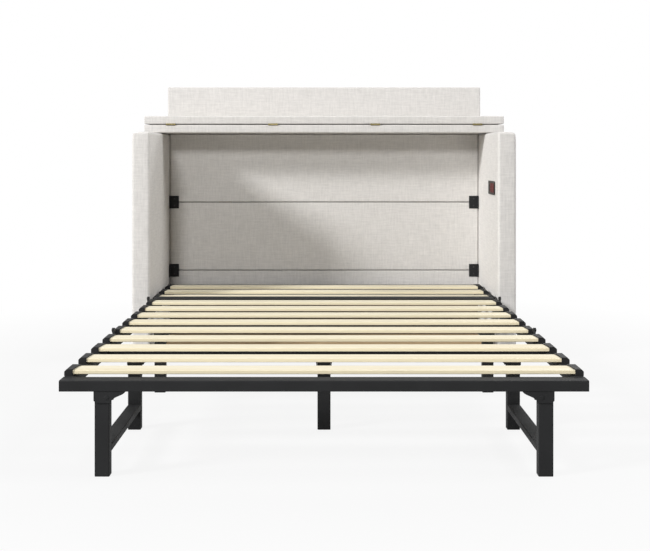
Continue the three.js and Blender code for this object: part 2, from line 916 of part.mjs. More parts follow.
function buildMidSection() {
  const section = new THREE.Group();
  const start = footFold + railEndGap;
  const end = midFold - railEndGap;
  for (const [name, side] of sides) {
    const rail = join(
      sideRail(side, start, end),
      ...slatHolders(side, footSlatCount, midSlatCount),
      innerEar(side, midFold, midEars),
      outerEar(side, footFold, footEars),
    );
    addPiece(section, `mid_rail_${name}`, rail, blackSteel);
    addPiece(section, `mid_leg_${name}`, leg(side, midLegStart), blackSteel);
  }
  const brackets = sides.map(([, side]) => legBracket(side, midLegStart));
  const tube = join(crossTube(midLegStart - bracketLap), ...brackets);
  addPiece(section, 'mid_cross_tube', tube, blackSteel);
  addSlats(section, footSlatCount, midSlatCount);
  return section;
}

function buildFootSection() {
  const section = new THREE.Group();
  const start = frontRailDepth + seatGap;
  const end = footFold - railEndGap;
  addPiece(section, 'front_rail', frontRail(), blackSteel);
  for (const [name, side] of sides) {
    const rail = join(
      sideRail(side, start, end),
      ...slatHolders(side, 0, footSlatCount),
      innerEar(side, footFold, footEars),
    );
    addPiece(section, `foot_rail_${name}`, rail, blackSteel);
  }
  const brackets = sides.map(([, side]) => legBracket(side, rearLegStart));
  const tube = join(crossTube(rearLegStart - bracketLap), ...brackets, centerLegBracket());
  addPiece(section, 'foot_cross_tube', tube, blackSteel);
  addSlats(section, 0, footSlatCount);
  return section;
}

function buildLegs() {
  const legs = new THREE.Group();
  for (const [name, side] of sides) {
    addPiece(legs, `${name}_front_leg`, leg(side, frontLegSetback), blackSteel);
    addPiece(legs, `${name}_rear_leg`, leg(side, rearLegStart), blackSteel);
    addPiece(legs, `${name}_stretcher`, stretcher(side), blackSteel);
  }
  addPiece(legs, 'center_leg', centerLeg(), blackSteel);
  return legs;
}

bed.add(buildCabinet(), buildLid(), buildRearSection());
bed.add(buildMidSection(), buildFootSection(), buildLegs());

export default bed;
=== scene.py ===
"""A cabinet bed, opened out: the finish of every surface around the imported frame.

Metres, +Z up. X runs across the bed and Y from its foot towards the cabinet.
"""
import json
import math

import bmesh
import bpy
from mathutils import Matrix, Vector, noise

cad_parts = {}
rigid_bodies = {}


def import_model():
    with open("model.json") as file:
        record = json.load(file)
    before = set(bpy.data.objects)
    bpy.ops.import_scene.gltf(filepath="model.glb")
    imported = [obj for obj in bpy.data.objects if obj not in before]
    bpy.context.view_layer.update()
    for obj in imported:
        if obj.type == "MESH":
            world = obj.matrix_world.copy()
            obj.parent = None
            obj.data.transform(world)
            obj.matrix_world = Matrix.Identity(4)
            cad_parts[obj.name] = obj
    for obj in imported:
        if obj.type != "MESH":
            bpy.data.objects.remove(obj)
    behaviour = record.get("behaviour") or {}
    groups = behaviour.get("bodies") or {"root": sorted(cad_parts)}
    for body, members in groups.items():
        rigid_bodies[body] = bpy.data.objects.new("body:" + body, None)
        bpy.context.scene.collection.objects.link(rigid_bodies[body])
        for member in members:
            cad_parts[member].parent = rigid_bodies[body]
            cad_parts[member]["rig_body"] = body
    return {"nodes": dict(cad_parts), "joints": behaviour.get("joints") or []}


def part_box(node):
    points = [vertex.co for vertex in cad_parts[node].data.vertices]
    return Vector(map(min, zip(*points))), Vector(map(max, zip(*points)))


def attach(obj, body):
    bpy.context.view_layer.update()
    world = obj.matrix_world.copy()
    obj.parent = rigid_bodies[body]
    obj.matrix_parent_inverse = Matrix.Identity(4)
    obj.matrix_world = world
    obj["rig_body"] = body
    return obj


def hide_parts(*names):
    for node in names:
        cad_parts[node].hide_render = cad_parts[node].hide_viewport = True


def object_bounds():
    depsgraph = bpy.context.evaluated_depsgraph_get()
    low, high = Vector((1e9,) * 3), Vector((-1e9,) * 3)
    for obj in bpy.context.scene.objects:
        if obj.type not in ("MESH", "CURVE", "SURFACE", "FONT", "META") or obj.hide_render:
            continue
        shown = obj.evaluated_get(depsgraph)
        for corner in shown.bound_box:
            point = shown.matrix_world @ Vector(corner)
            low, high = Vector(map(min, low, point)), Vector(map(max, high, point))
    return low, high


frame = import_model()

cad_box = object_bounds()

# Camera: level, looking along +Y, with the photograph's focal length and horizon in pixels
PHOTO_WIDTH = 650
PHOTO_HEIGHT = 551
PHOTO_MIDDLE = 324
PHOTO_FOCAL = 963
PHOTO_HORIZON = 154.6
SENSOR_WIDTH = 36
CAMERA_HEIGHT = 0.9246
CAMERA_TO_FOOT = 2.758

# Sizes of the bed's parts that its boxes alone don't give
MM = 0.001
FIT = 0.3 * MM
PLATE = 3 * MM
OVERRUN = 3 * MM
TUBE_WALL = 1.8 * MM
TUBE_CORNER = 3 * MM
RAIL_END_GAP = 1.5 * MM
GLIDE_HEIGHT = 4 * MM
EDGE_BEVEL = 0.6 * MM

BEVEL_ANGLE = math.radians(25)
SHARP_ANGLE = math.radians(50)
SAME_POINT = 1e-6
TINY = 1e-9
SIDES = (("left", -1), ("right", 1))

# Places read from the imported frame
JOINTS = {joint["name"]: joint for joint in frame["joints"]}
slat_low, slat_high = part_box("slat_12")
front_low, front_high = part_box("front_rail")
rear_tube_low, rear_tube_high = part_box("rear_cross_tube")
FRAME_HALF = front_high.x
RAIL_TOP = front_high.z
RAIL_BOTTOM = rear_tube_low.z
RAIL_INNER = rear_tube_high.x + FIT
FOOT_FOLD = JOINTS["foot_fold"]["pos_m"][1]
MID_FOLD, FOLD_Z = JOINTS["mid_fold"]["pos_m"][1:]
RAIL_SPANS = {
    "foot": (front_high.y + FIT, FOOT_FOLD - RAIL_END_GAP),
    "mid": (FOOT_FOLD + RAIL_END_GAP, MID_FOLD - RAIL_END_GAP),
    "rear": (MID_FOLD + RAIL_END_GAP, rear_tube_high.y),
}

# The two outline axes and the extrusion axis of a prism along X, Y or Z
PRISM_AXES = {"X": (1, 2, 0), "Y": (0, 2, 1), "Z": (0, 1, 2)}


def body_of(node):
    """The body that a CAD node rides on."""
    return frame["nodes"][node]["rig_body"]


def place(axis, u, v, w):
    """A point from its two outline coordinates and its place along the axis."""
    corner = [0.0, 0.0, 0.0]
    for index, value in zip(PRISM_AXES[axis], (u, v, w)):
        corner[index] = value
    return corner


def rounded_outline(low, high, radius, steps=4):
    """Corners of a rounded rectangle, anticlockwise."""
    points = []
    centres = (
        (high[0] - radius, low[1] + radius, -90),
        (high[0] - radius, high[1] - radius, 0),
        (low[0] + radius, high[1] - radius, 90),
        (low[0] + radius, low[1] + radius, 180),
    )
    for x, y, start in centres:
        for step in range(steps + 1):
            turn = math.radians(start + 90 * step / steps)
            points.append((x + radius * math.cos(turn), y + radius * math.sin(turn)))
    return points


def circle_outline(centre, radius, steps):
    turns = [2 * math.pi * step / steps for step in range(steps)]
    return [(centre[0] + radius * math.cos(t), centre[1] + radius * math.sin(t)) for t in turns]


def add_points(bm, axis, outline, level):
    """The points of an outline, at one place along the axis."""
    return [bm.verts.new(place(axis, u, v, level)) for u, v in outline]


def add_wall(bm, one, other):
    """Faces between two rings of the same number of points."""
    count = len(one)
    for index in range(count):
        after = (index + 1) % count
        bm.faces.new((one[index], one[after], other[after], other[index]))


def add_prism(bm, outline, axis, start, end):
    """A closed prism on an outline, between two planes across an axis."""
    rings = [add_points(bm, axis, outline, level) for level in (start, end)]
    for ring in rings:
        bm.faces.new(ring)
    add_wall(bm, *rings)


def add_block(bm, low, high):
    corners = [(low[0], low[1]), (high[0], low[1]), (high[0], high[1]), (low[0], high[1])]
    add_prism(bm, corners, "Z", low[2], high[2])


def add_tube(bm, axis, low, high):
    """A hollow rectangular tube along an axis, open at both ends."""
    first, second, along = PRISM_AXES[axis]
    outer = rounded_outline((low[first], low[second]), (high[first], high[second]), TUBE_CORNER)
    inner = rounded_outline(
        (low[first] + TUBE_WALL, low[second] + TUBE_WALL),
        (high[first] - TUBE_WALL, high[second] - TUBE_WALL),
        TUBE_CORNER - TUBE_WALL,
    )
    outer_start, outer_end, inner_start, inner_end = [
        add_points(bm, axis, outline, level)
        for outline in (outer, inner) for level in (low[along], high[along])
    ]
    add_wall(bm, outer_start, outer_end)
    add_wall(bm, inner_start, inner_end)
    add_wall(bm, outer_start, inner_start)
    add_wall(bm, outer_end, inner_end)


def add_lathe(bm, axis, centre, profile, steps=20):
    """A turned shell; its profile lists (place along the axis, radius), closed at both ends."""
    first, second, along = PRISM_AXES[axis]
    middle = (centre[first], centre[second])
    rings = [
        add_points(bm, axis, circle_outline(middle, radius, steps), centre[along] + offset)
        for offset, radius in profile
    ]
    bm.faces.new(rings[0])
    bm.faces.new(rings[-1])
    for one, other in zip(rings, rings[1:]):
        add_wall(bm, one, other)


def bevelled(bm, offset, segments):
    bmesh.ops.recalc_face_normals(bm, faces=bm.faces)
    edges = [
        edge for edge in bm.edges
        if len(edge.link_faces) == 2 and edge.calc_face_angle(0) > BEVEL_ANGLE
    ]
    bmesh.ops.bevel(
        bm, geom=edges, offset=offset, offset_type="OFFSET", segments=segments,
        profile=0.5, affect="EDGES", clamp_overlap=True,
    )


def to_mesh(bm, name):
    """The finished mesh, smooth apart from its sharp edges."""
    bmesh.ops.recalc_face_normals(bm, faces=bm.faces)
    mesh = bpy.data.meshes.new(name)
    bm.to_mesh(mesh)
    bm.free()
    for polygon in mesh.polygons:
        polygon.use_smooth = True
    mesh.set_sharp_from_angle(angle=SHARP_ANGLE)
    return mesh


def shell_mesh(name, build, bevel=0.0, segments=2):
    """A mesh of the closed shells that a build function adds."""
    bm = bmesh.new()
    build(bm)
    if bevel:
        bevelled(bm, bevel, segments)
    return to_mesh(bm, name)


def prism_mesh(name, outline, axis, start, end):
    return shell_mesh(name, lambda bm: add_prism(bm, outline, axis, start, end))


def in_scene(name, data):
    """A new object in the scene's collection."""
    item = bpy.data.objects.new(name, data)
    bpy.context.scene.collection.objects.link(item)
    return item


def applied(piece):
    """An object's mesh after its modifiers, with the object itself removed."""
    graph = bpy.context.evaluated_depsgraph_get()
    mesh = bpy.data.meshes.new_from_object(piece.evaluated_get(graph))
    bpy.data.objects.remove(piece)
    return mesh


def carved(mesh, cutter, operation="DIFFERENCE"):
    """A mesh after one exact boolean with another mesh."""
    one, other = (in_scene(part.name, part) for part in (mesh, cutter))
    modifier = one.modifiers.new("carve", "BOOLEAN")
    modifier.operation = operation
    modifier.solver = "EXACT"
    modifier.object = other
    result = applied(one)
    bpy.data.objects.remove(other)
    return result


def add_piece(name, mesh, finish, body, nodes=()):
    """One visible piece on its body, standing for the CAD nodes that it replaces."""
    material, slot = finish
    piece = in_scene(name, mesh)
    if not mesh.materials:
        mesh.materials.append(material)
    weighted = piece.modifiers.new("weighted_normals", "WEIGHTED_NORMAL")
    weighted.keep_sharp = True
    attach(piece, body)
    if nodes:
        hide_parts(*nodes)
    return piece


def solid_piece(name, build, finish, body, nodes=(), bevel=EDGE_BEVEL, segments=2):
    add_piece(name, shell_mesh(name, build, bevel, segments), finish, body, nodes)


def prism_piece(name, outline, axis, ends, finish, body, **options):
    solid_piece(name, lambda bm: add_prism(bm, outline, axis, *ends), finish, body, **options)


def block_piece(name, low, high, finish, body, **options):
    solid_piece(name, lambda bm: add_block(bm, low, high), finish, body, **options)


def mirrored(low, high, side):
    ends = sorted((low[0] * side, high[0] * side))
    return (ends[0], low[1], low[2]), (ends[1], high[1], high[2])


# Shader building

# Most values of a noise texture lie between these
NOISE_RANGE = (0.3, 0.7)


class Nodes:
    """A material's node tree, with short calls for the nodes used here."""

    def __init__(self, name):
        self.material = bpy.data.materials.new(name)
        self.material.use_nodes = True
        self.tree = self.material.node_tree
        self.shader = self.tree.nodes["Principled BSDF"]

    def link(self, source, target):
        if isinstance(source, bpy.types.NodeSocket):
            self.tree.links.new(source, target)
        else:
            target.default_value = source

    def add(self, kind, inputs=(), **settings):
        node = self.tree.nodes.new(kind)
        for key, value in settings.items():
            setattr(node, key, value)
        for key, value in dict(inputs).items():
            self.link(value, node.inputs[key])
        return node

    def math(self, operation, one, other=0.0):
        return self.add("ShaderNodeMath", {0: one, 1: other}, operation=operation).outputs[0]

    def vector_math(self, operation, inputs, output=0):
        node = self.add("ShaderNodeVectorMath", inputs, operation=operation)
        return node.outputs[output]

    def object_point(self):
        return self.add("ShaderNodeTexCoord").outputs["Object"]

    def object_normal(self):
        return self.add("ShaderNodeTexCoord").outputs["Normal"]

    def separated(self, vector):
        return self.add("ShaderNodeSeparateXYZ", {0: vector}).outputs

    def either(self, share, one, other):
        """One number, or another where the share is 1."""
        return self.add("ShaderNodeMix", {0: share, 2: one, 3: other}).outputs[0]

    def noise(self, vector, scale=1.0, detail=3.0, roughness=0.5, distortion=0.0, stretch=None):
        """A noise of a vector, stretched first by a factor for each axis."""
        if stretch is not None:
            mapping = {"Vector": vector, "Scale": stretch}
            vector = self.add("ShaderNodeMapping", mapping).outputs[0]
        node = self.add("ShaderNodeTexNoise", {
            "Vector": vector, "Scale": scale, "Detail": detail,
            "Roughness": roughness, "Distortion": distortion,
        })
        return node.outputs["Fac"]

    def wave(self, value, pitch):
        return self.math("SINE", self.math("MULTIPLY", value, 2 * math.pi / pitch))

    def span(self, value, to=(0, 1), within=NOISE_RANGE):
        """A value carried from one range to another."""
        node = self.add("ShaderNodeMapRange", {
            "Value": value, "From Min": within[0], "From Max": within[1],
            "To Min": to[0], "To Max": to[1],
        })
        return node.outputs[0]

    def blend(self, value, one, other, within=NOISE_RANGE):
        """Two colours, mixed as a value goes through a range."""
        node = self.add("ShaderNodeMix", data_type="RGBA")
        for index, source in ((0, self.span(value, within=within)), (6, one), (7, other)):
            self.link(source, node.inputs[index])
        return node.outputs[2]

    def tint(self, color, factor):
        """A colour made lighter or darker by a factor."""
        return self.vector_math("SCALE", {0: color, 3: factor})

    def bump(self, height, distance, strength, normal=None):
        inputs = {"Height": height, "Distance": distance, "Strength": strength}
        if normal is not None:
            inputs["Normal"] = normal
        return self.add("ShaderNodeBump", inputs).outputs[0]

    def finish(self, color, roughness, normal, **fixed):
        self.link(color, self.shader.inputs["Base Color"])
        self.link(roughness, self.shader.inputs["Roughness"])
        self.link(normal, self.shader.inputs["Normal"])
        for key, value in fixed.items():
            self.shader.inputs[key.replace("_", " ")].default_value = value
        return self.material


def plain_material(name, colors, roughness, relief, shade, grain=None, within=NOISE_RANGE, **fixed):
    """A finish whose colour and roughness follow one noise, and its relief the same or another.

    Roughness is a range, relief a distance and a strength, and each noise its settings.
    """
    n = Nodes(name)
    point = n.object_point()
    tone = n.noise(point, **shade)
    height = n.noise(point, **grain) if grain else tone
    return n.finish(
        n.blend(tone, *colors, within=within), n.span(tone, roughness), n.bump(height, *relief),
        **fixed,
    )


# The colours of each finish, which a noise mixes
LINEN_COLOR = (0.655, 0.635, 0.612)
BIRCH_FACE = ((0.722, 0.676, 0.541, 1), (0.670, 0.596, 0.434, 1))
# Ply colours of the edges, made lighter than the face as painted light, since the edges get less
# lamp light than the top
BIRCH_PLY_AND_PAINTED_LIGHT = ((0.90, 0.81, 0.585, 1), (0.81, 0.70, 0.47, 1))
PLYWOOD_COLORS = ((0.64, 0.47, 0.28, 1), (0.50, 0.34, 0.19, 1))
STEEL_COLORS = ((0.0188, 0.0191, 0.0197, 1), (0.0228, 0.0232, 0.0240, 1))
HOLDER_COLORS = ((0.0150, 0.0150, 0.0155, 1), (0.0195, 0.0195, 0.0200, 1))
BRASS_COLORS = ((0.28, 0.235, 0.115, 1), (0.21, 0.175, 0.08, 1))
CHARGER_COLORS = ((0.058, 0.054, 0.051, 1), (0.046, 0.043, 0.040, 1))
SOCKET_COLORS = ((0.115, 0.020, 0.019, 1), (0.085, 0.014, 0.014, 1))
# Painted shade: dark colours put on the lower back plank, where only the shade between the slats
# falls
PAINTED_SHADE_COLORS = ((0.19, 0.145, 0.096, 1), (0.16, 0.12, 0.08, 1))
SCREW_COLORS = ((0.023, 0.023, 0.024, 1), (0.05, 0.05, 0.053, 1))

# A face looks along an axis where its normal's part along it is above this
FACING = 0.707
THREAD_PITCH = 1.15 * MM
THREAD_STRETCH = (38, 620, 1)
SLUB_STRETCH = (15, 130, 1)
SLUB_SHARE = 0.6
PLY_PITCH = 3 * MM
GRAIN_START = (7.3, 2.1, 3.7)


def linen_material():
    """Slubbed linen weave. Threads run along the two axes that lie in each face."""
    n = Nodes("linen")
    point = n.object_point()
    place_of = n.separated(point)
    toward = n.separated(n.vector_math("ABSOLUTE", {0: n.object_normal()}))
    faces_x = n.math("GREATER_THAN", toward[0], FACING)
    faces_z = n.math("GREATER_THAN", toward[2], FACING)
    across = n.either(faces_x, place_of[0], place_of[1])
    upward = n.either(faces_z, place_of[2], place_of[1])

    def threads(run, step):
        """Uneven long streaks along one thread direction."""
        flat = n.add("ShaderNodeCombineXYZ", {0: run, 1: step}).outputs[0]
        fine = n.noise(flat, detail=2, roughness=0.6, stretch=THREAD_STRETCH)
        slub = n.noise(flat, detail=3, roughness=0.55, stretch=SLUB_STRETCH)
        fine_part = n.math("MULTIPLY", fine, 1 - SLUB_SHARE)
        return n.math("ADD", fine_part, n.math("MULTIPLY", slub, SLUB_SHARE))

    streak = n.math("ADD", threads(across, upward), threads(upward, across))
    cloud = n.noise(point, scale=42)
    weave = n.math("MULTIPLY", n.wave(across, THREAD_PITCH), n.wave(upward, THREAD_PITCH))
    streak_shade = n.span(streak, (0.88, 1.11), within=(0.75, 1.25))
    shade = n.math("ADD", streak_shade, n.span(cloud, (-0.018, 0.018)))
    rough = n.bump(streak, 0.5 * MM, 0.5)
    return n.finish(
        n.tint(LINEN_COLOR, shade), n.span(streak, (0.97, 0.86), within=(0.8, 1.2)),
        n.bump(weave, 0.12 * MM, 0.4, rough),
        Sheen_Weight=0.12, Sheen_Roughness=0.5, Specular_IOR_Level=0.08,
    )


def birch_material():
    """Lacquered laminated birch, with the grain along X and the plies seen on the edges, which are
    also painted lighter than the top as painted light.
    """
    n = Nodes("birch")
    point = n.object_point()
    start = n.vector_math("ADD", {0: point, 1: GRAIN_START})
    grain = n.noise(start, detail=5, roughness=0.6, distortion=0.6, stretch=(1.3, 46, 46))
    fibre = n.noise(point, detail=2, roughness=0.6, stretch=(9, 520, 520))
    face = n.blend(grain, *BIRCH_FACE, within=(0.32, 0.72))
    # The edges get the lighter ply colour: real plies, and painted light
    edge = n.blend(n.wave(n.separated(point)[2], PLY_PITCH), *BIRCH_PLY_AND_PAINTED_LIGHT, within=(-0.2, 0.9))
    up = n.math("ABSOLUTE", n.separated(n.object_normal())[2])
    color = n.blend(up, edge, face, within=(0.45, 0.75))
    own = n.add("ShaderNodeObjectInfo").outputs["Random"]
    tone = n.math("ADD", n.span(fibre, (0.97, 1.03)), n.span(own, (-0.02, 0.02), within=(0, 1)))
    return n.finish(
        n.tint(color, tone), n.span(grain, (0.60, 0.72)), n.bump(fibre, 0.1 * MM, 0.5),
        Specular_IOR_Level=0.12,
    )


def board_material():
    """Bare plywood, with the grain along X."""
    grain = {"detail": 5, "roughness": 0.6, "distortion": 0.8, "stretch": (3, 40, 40)}
    fibre = {"detail": 2, "stretch": (12, 400, 400)}
    return plain_material(
        "plywood", PLYWOOD_COLORS, (0.62, 0.8), (0.3 * MM, 0.6), grain, fibre,
    )


def steel_material():
    """Satin black powder coat, with the fine orange peel that it dries to."""
    peel = {"scale": 900, "detail": 2, "roughness": 0.6}
    return plain_material(
        "black_steel", STEEL_COLORS, (0.56, 0.66), (0.06 * MM, 0.55), {"scale": 12}, peel,
        Specular_IOR_Level=0.09,
    )


def holder_material():
    """Black moulded plastic with a fine spark texture."""
    n = Nodes("holder_plastic")
    point = n.object_point()
    spark = n.noise(point, scale=1500, detail=2, roughness=0.7)
    color = n.blend(n.noise(point, scale=30, detail=2), *HOLDER_COLORS)
    return n.finish(
        color, n.span(spark, (0.55, 0.68)), n.bump(spark, 0.08 * MM, 0.7),
        Specular_IOR_Level=0.15,
    )


def brass_material():
    """Brass, brushed along X."""
    brushed = {"stretch": (60, 1400, 1400)}
    return plain_material(
        "brass", BRASS_COLORS, (0.26, 0.4), (0.05 * MM, 0.5), brushed, Metallic=1.0,
    )


def moulded_material(name, colors, roughness):
    """Plastic of the charging unit."""
    spark = {"scale": 1800, "detail": 2, "roughness": 0.6}
    return plain_material(
        name, colors, roughness, (0.04 * MM, 0.6), spark, Specular_IOR_Level=0.1,
    )


def painted_shade_material():
    """Painted shade on the back wall under the level of the slats: a dark finish with a fibre bump,
    standing in for the shade there.
    """
    fibre = {"scale": 600, "roughness": 0.6}
    return plain_material("lining", PAINTED_SHADE_COLORS, (0.85, 0.97), (0.2 * MM, 0.5), fibre)


def screw_material():
    """Blackened steel of the screws and pins, a little brighter where it is worn."""
    return plain_material(
        "screw_steel", SCREW_COLORS, (0.42, 0.3), (0.03 * MM, 0.5), {"scale": 420},
        within=(0.35, 0.7), Metallic=0.6,
    )


# A finish is a material and a slot name, which no piece here is given; the glides' slot name is
# their side panel's
LINEN = (linen_material(), "linen")
BIRCH = (birch_material(), "birch")
PLYWOOD = (board_material(), "plywood")
STEEL = (steel_material(), "black_steel")
HOLDER = (holder_material(), "black_steel")
BRASS = (brass_material(), "brass")
CHARGER = (moulded_material("charger_grey", CHARGER_COLORS, (0.50, 0.60)), "grey_plastic")
SOCKET = (moulded_material("socket_red", SOCKET_COLORS, (0.45, 0.55)), "grey_plastic")
SCREW = (screw_material(), "black_steel")
GLIDE = (HOLDER[0], "linen")
# Painted shade for the lower back plank, a material without a slot name
PAINTED_SHADE = painted_shade_material()


# Upholstered boards

# Piece, node, radius of its edges and how far its cloth may move
COVERS = (
    ("cover_side_left", "side_panel_left", 12 * MM, 2 * MM),
    ("cover_side_right", "side_panel_right", 12 * MM, 2 * MM),
    ("cover_plank_lower", "back_plank_lower", 3.5 * MM, 0.4 * MM),
    ("cover_plank_middle", "back_plank_middle", 3.5 * MM, 0.4 * MM),
    ("cover_plank_upper", "back_plank_upper", 3.5 * MM, 0.4 * MM),
    ("cover_rear", "rear_cover", 3 * MM, 0.4 * MM),
    ("cover_headboard", "headboard_panel", 5 * MM, 0.7 * MM),
    ("cover_lid_rear", "lid_rear_leaf", 5 * MM, 0.4 * MM),
    ("cover_lid_front", "lid_front_leaf", 5 * MM, 0.4 * MM),
)
# The cover that carries painted shade, the height below which it goes and how far its faces must
# look forward
SHADE_PAINTED_COVER = "cover_plank_lower"
PAINTED_SHADE_TOP = 215 * MM
PAINTED_SHADE_FACING = -0.5
GRID_STEP = 22 * MM
EDGE_STOPS = (0, 0.33, 0.67, 1)
OUTER_CORNER = 26 * MM
UNEVENNESS = 0.2 * MM
UNEVEN_SCALE = 17
CLOTH_FRAMES = 20
CLOTH_PRESSURE = 4
CLOTH_SPRING_LENGTH = 120 * MM


def stops(low, high, radius):
    """Grid lines across a board, close together over its rounded edges."""
    edge = [radius * share for share in EDGE_STOPS]
    inner_low, inner_high = low + radius, high - radius
    count = max(1, round((inner_high - inner_low) / GRID_STEP))
    inner = [inner_low + (inner_high - inner_low) * index / count for index in range(1, count)]
    return [low + e for e in edge] + inner + [high - e for e in reversed(edge)]


def board_grid(low, high, radius):
    """The six faces of a box as one welded grid."""
    lines = [stops(low[axis], high[axis], radius) for axis in range(3)]
    bm = bmesh.new()
    for axis, (first, second, along) in PRISM_AXES.items():
        for level in (low[along], high[along]):
            grid = [
                add_points(bm, axis, [(u, v) for v in lines[second]], level) for u in lines[first]
            ]
            for row, after in zip(grid, grid[1:]):
                for j in range(len(row) - 1):
                    bm.faces.new((row[j], after[j], after[j + 1], row[j + 1]))
    bmesh.ops.remove_doubles(bm, verts=bm.verts, dist=SAME_POINT)
    return bm


def board_mesh(name, node, radius, reach):
    """A padded board a little inside its node's box, with rounded edges and uneven cloth."""
    low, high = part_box(node)
    inset = Vector((reach,) * 3)
    low, high = low + inset, high - inset
    upright_side = node.startswith("side_panel")
    if upright_side:
        low.z += GLIDE_HEIGHT
    bm = board_grid(low, high, radius)
    for vert in bm.verts:
        point = vert.co.copy()
        core = Vector(min(max(point[a], low[a] + radius), high[a] - radius) for a in range(3))
        outward = point - core
        if outward.length < TINY:
            continue
        outward.normalize()
        uneven = UNEVENNESS * noise.noise(point * UNEVEN_SCALE)
        vert.co = core + outward * (radius + uneven)
        if upright_side:
            round_top(vert, low, high)
    return to_mesh(bm, name)


def round_top(vert, low, high):
    """Takes a side panel's outer top edge back to a larger radius."""
    side = 1 if low.x > 0 else -1
    outer = high.x if side > 0 else -low.x
    across = vert.co.x * side - (outer - OUTER_CORNER)
    rise = vert.co.z - (high.z - OUTER_CORNER)
    if across > 0 and rise > 0:
        scale = min(1.0, OUTER_CORNER / math.hypot(across, rise))
        vert.co.x = (outer - OUTER_CORNER + across * scale) * side
        vert.co.z = high.z - OUTER_CORNER + rise * scale


def settle(meshes, reaches):
    """Moves the covers' points as the padding pushes out and the cloth holds it.

    All the covers are simulated together. A point moves at most its cover's reach.
    """
    scene = bpy.context.scene
    covers = []
    for mesh in meshes:
        cover = in_scene(mesh.name, mesh)
        cloth = cover.modifiers.new("cloth", "CLOTH")
        cloth.settings.effector_weights.gravity = 0
        cloth.settings.use_pressure = True
        cloth.settings.uniform_pressure_force = CLOTH_PRESSURE
        cloth.settings.use_internal_springs = True
        cloth.settings.internal_spring_max_length = CLOTH_SPRING_LENGTH
        cloth.point_cache.frame_start = 1
        cloth.point_cache.frame_end = CLOTH_FRAMES
        covers.append(cover)
    for number in range(1, CLOTH_FRAMES + 1):
        scene.frame_set(number)
    graph = bpy.context.evaluated_depsgraph_get()
    for cover, reach in zip(covers, reaches):
        moved = cover.evaluated_get(graph).to_mesh()
        for vert, new in zip(cover.data.vertices, moved.vertices):
            step = new.co - vert.co
            if step.length > TINY:
                vert.co += step.normalized() * reach * math.tanh(step.length / reach)
    for cover in covers:
        bpy.data.objects.remove(cover)
    scene.frame_set(1)


def subdivided(mesh, name):
    """A mesh after one smoothing subdivision."""
    piece = in_scene(name, mesh)
    piece.modifiers.new("smooth", "SUBSURF").levels = 1
    return applied(piece)


def paint_shade_below(mesh, level):
    """Paints shade on the faces of a plank that look forward under a level."""
    mesh.materials.append(LINEN[0])
    mesh.materials.append(PAINTED_SHADE)
    for polygon in mesh.polygons:
        if polygon.center.z < level and polygon.normal.y < PAINTED_SHADE_FACING:
            polygon.material_index = 1


def build_covers():
    meshes = [board_mesh(*cover) for cover in COVERS]
    settle(meshes, [reach for *_, reach in COVERS])
    for (name, node, _, _), mesh in zip(COVERS, meshes):
        cover = subdivided(mesh, name)
        # Painted shade on the lower plank's forward faces under the slats
        if name == SHADE_PAINTED_COVER:
            paint_shade_below(cover, PAINTED_SHADE_TOP)
        piece = add_piece(name, cover, LINEN, body_of(node), (node,))


# Wooden boards inside the cabinet and the strips that carry the upright panel

def swap_box(node, finish, bevel):
    """A rounded-edged board or strip in its node's box."""
    block_piece(
        f"form_{node}", *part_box(node), finish, body_of(node), nodes=(node,), bevel=bevel,
        segments=3,
    )


def build_boards():
    swap_box("base_board", PLYWOOD, 1.2 * MM)
    for name, _ in SIDES:
        swap_box(f"back_batten_{name}", PLYWOOD, 1.2 * MM)
        swap_box(f"headboard_bracket_{name}", STEEL, 0.8 * MM)


# Pins and screws

PIN_RADIUS = 4 * MM
PIN_HEAD = 1.5 * MM
# Shares of a head's height and of its radius
PIN_DOME = ((0, 1), (0.45, 1), (0.85, 0.82), (1, 0.5))
SCREW_DOME = ((0, 1), (0.35, 1), (0.8, 0.78), (1, 0.5))
SCREW_RADIUS = 4 * MM
SCREW_PROUD = 1.6 * MM
# Shares of a screw's radius, then of how far it stands proud
CROSS_ARM = 0.55
CROSS_HALF_WIDTH = 0.12
CROSS_BOTTOM = 0.9
CROSS_TOP = 1.08


def pin_piece(name, axis, centre, head_radius, length, finish, body):
    """A pin with a domed head at each end; length is the clear length between the heads."""
    inside = length / 2
    half = [(inside, PIN_RADIUS)]
    half += [(inside + PIN_HEAD * rise, head_radius * size) for rise, size in PIN_DOME]
    profile = [(-offset, size) for offset, size in reversed(half)] + half
    solid_piece(name, lambda bm: add_lathe(bm, axis, centre, profile), finish, body, bevel=0)


def add_screw(bm, axis, centre, outward):
    """A domed screw head with a cross on it, standing proud of a face."""
    first, second, along = PRISM_AXES[axis]
    add_lathe(bm, axis, centre, [
        (SCREW_PROUD * rise * outward, SCREW_RADIUS * size) for rise, size in SCREW_DOME
    ])
    arm, half = SCREW_RADIUS * CROSS_ARM, SCREW_RADIUS * CROSS_HALF_WIDTH
    cross = [
        (arm, -half), (arm, half), (half, half), (half, arm), (-half, arm), (-half, half),
        (-arm, half), (-arm, -half), (-half, -half), (-half, -arm), (half, -arm), (half, -half),
    ]
    outline = [(centre[first] + u, centre[second] + v) for u, v in cross]
    ends = [centre[along] + SCREW_PROUD * share * outward for share in (CROSS_BOTTOM, CROSS_TOP)]
    add_prism(bm, outline, axis, *sorted(ends))


# Plates over the seams of the back wall

SCREW_RISE = 17 * MM
# How far the inside of the bend reaches along each flange, as a share of the plate
BEND_SHARE = 0.6


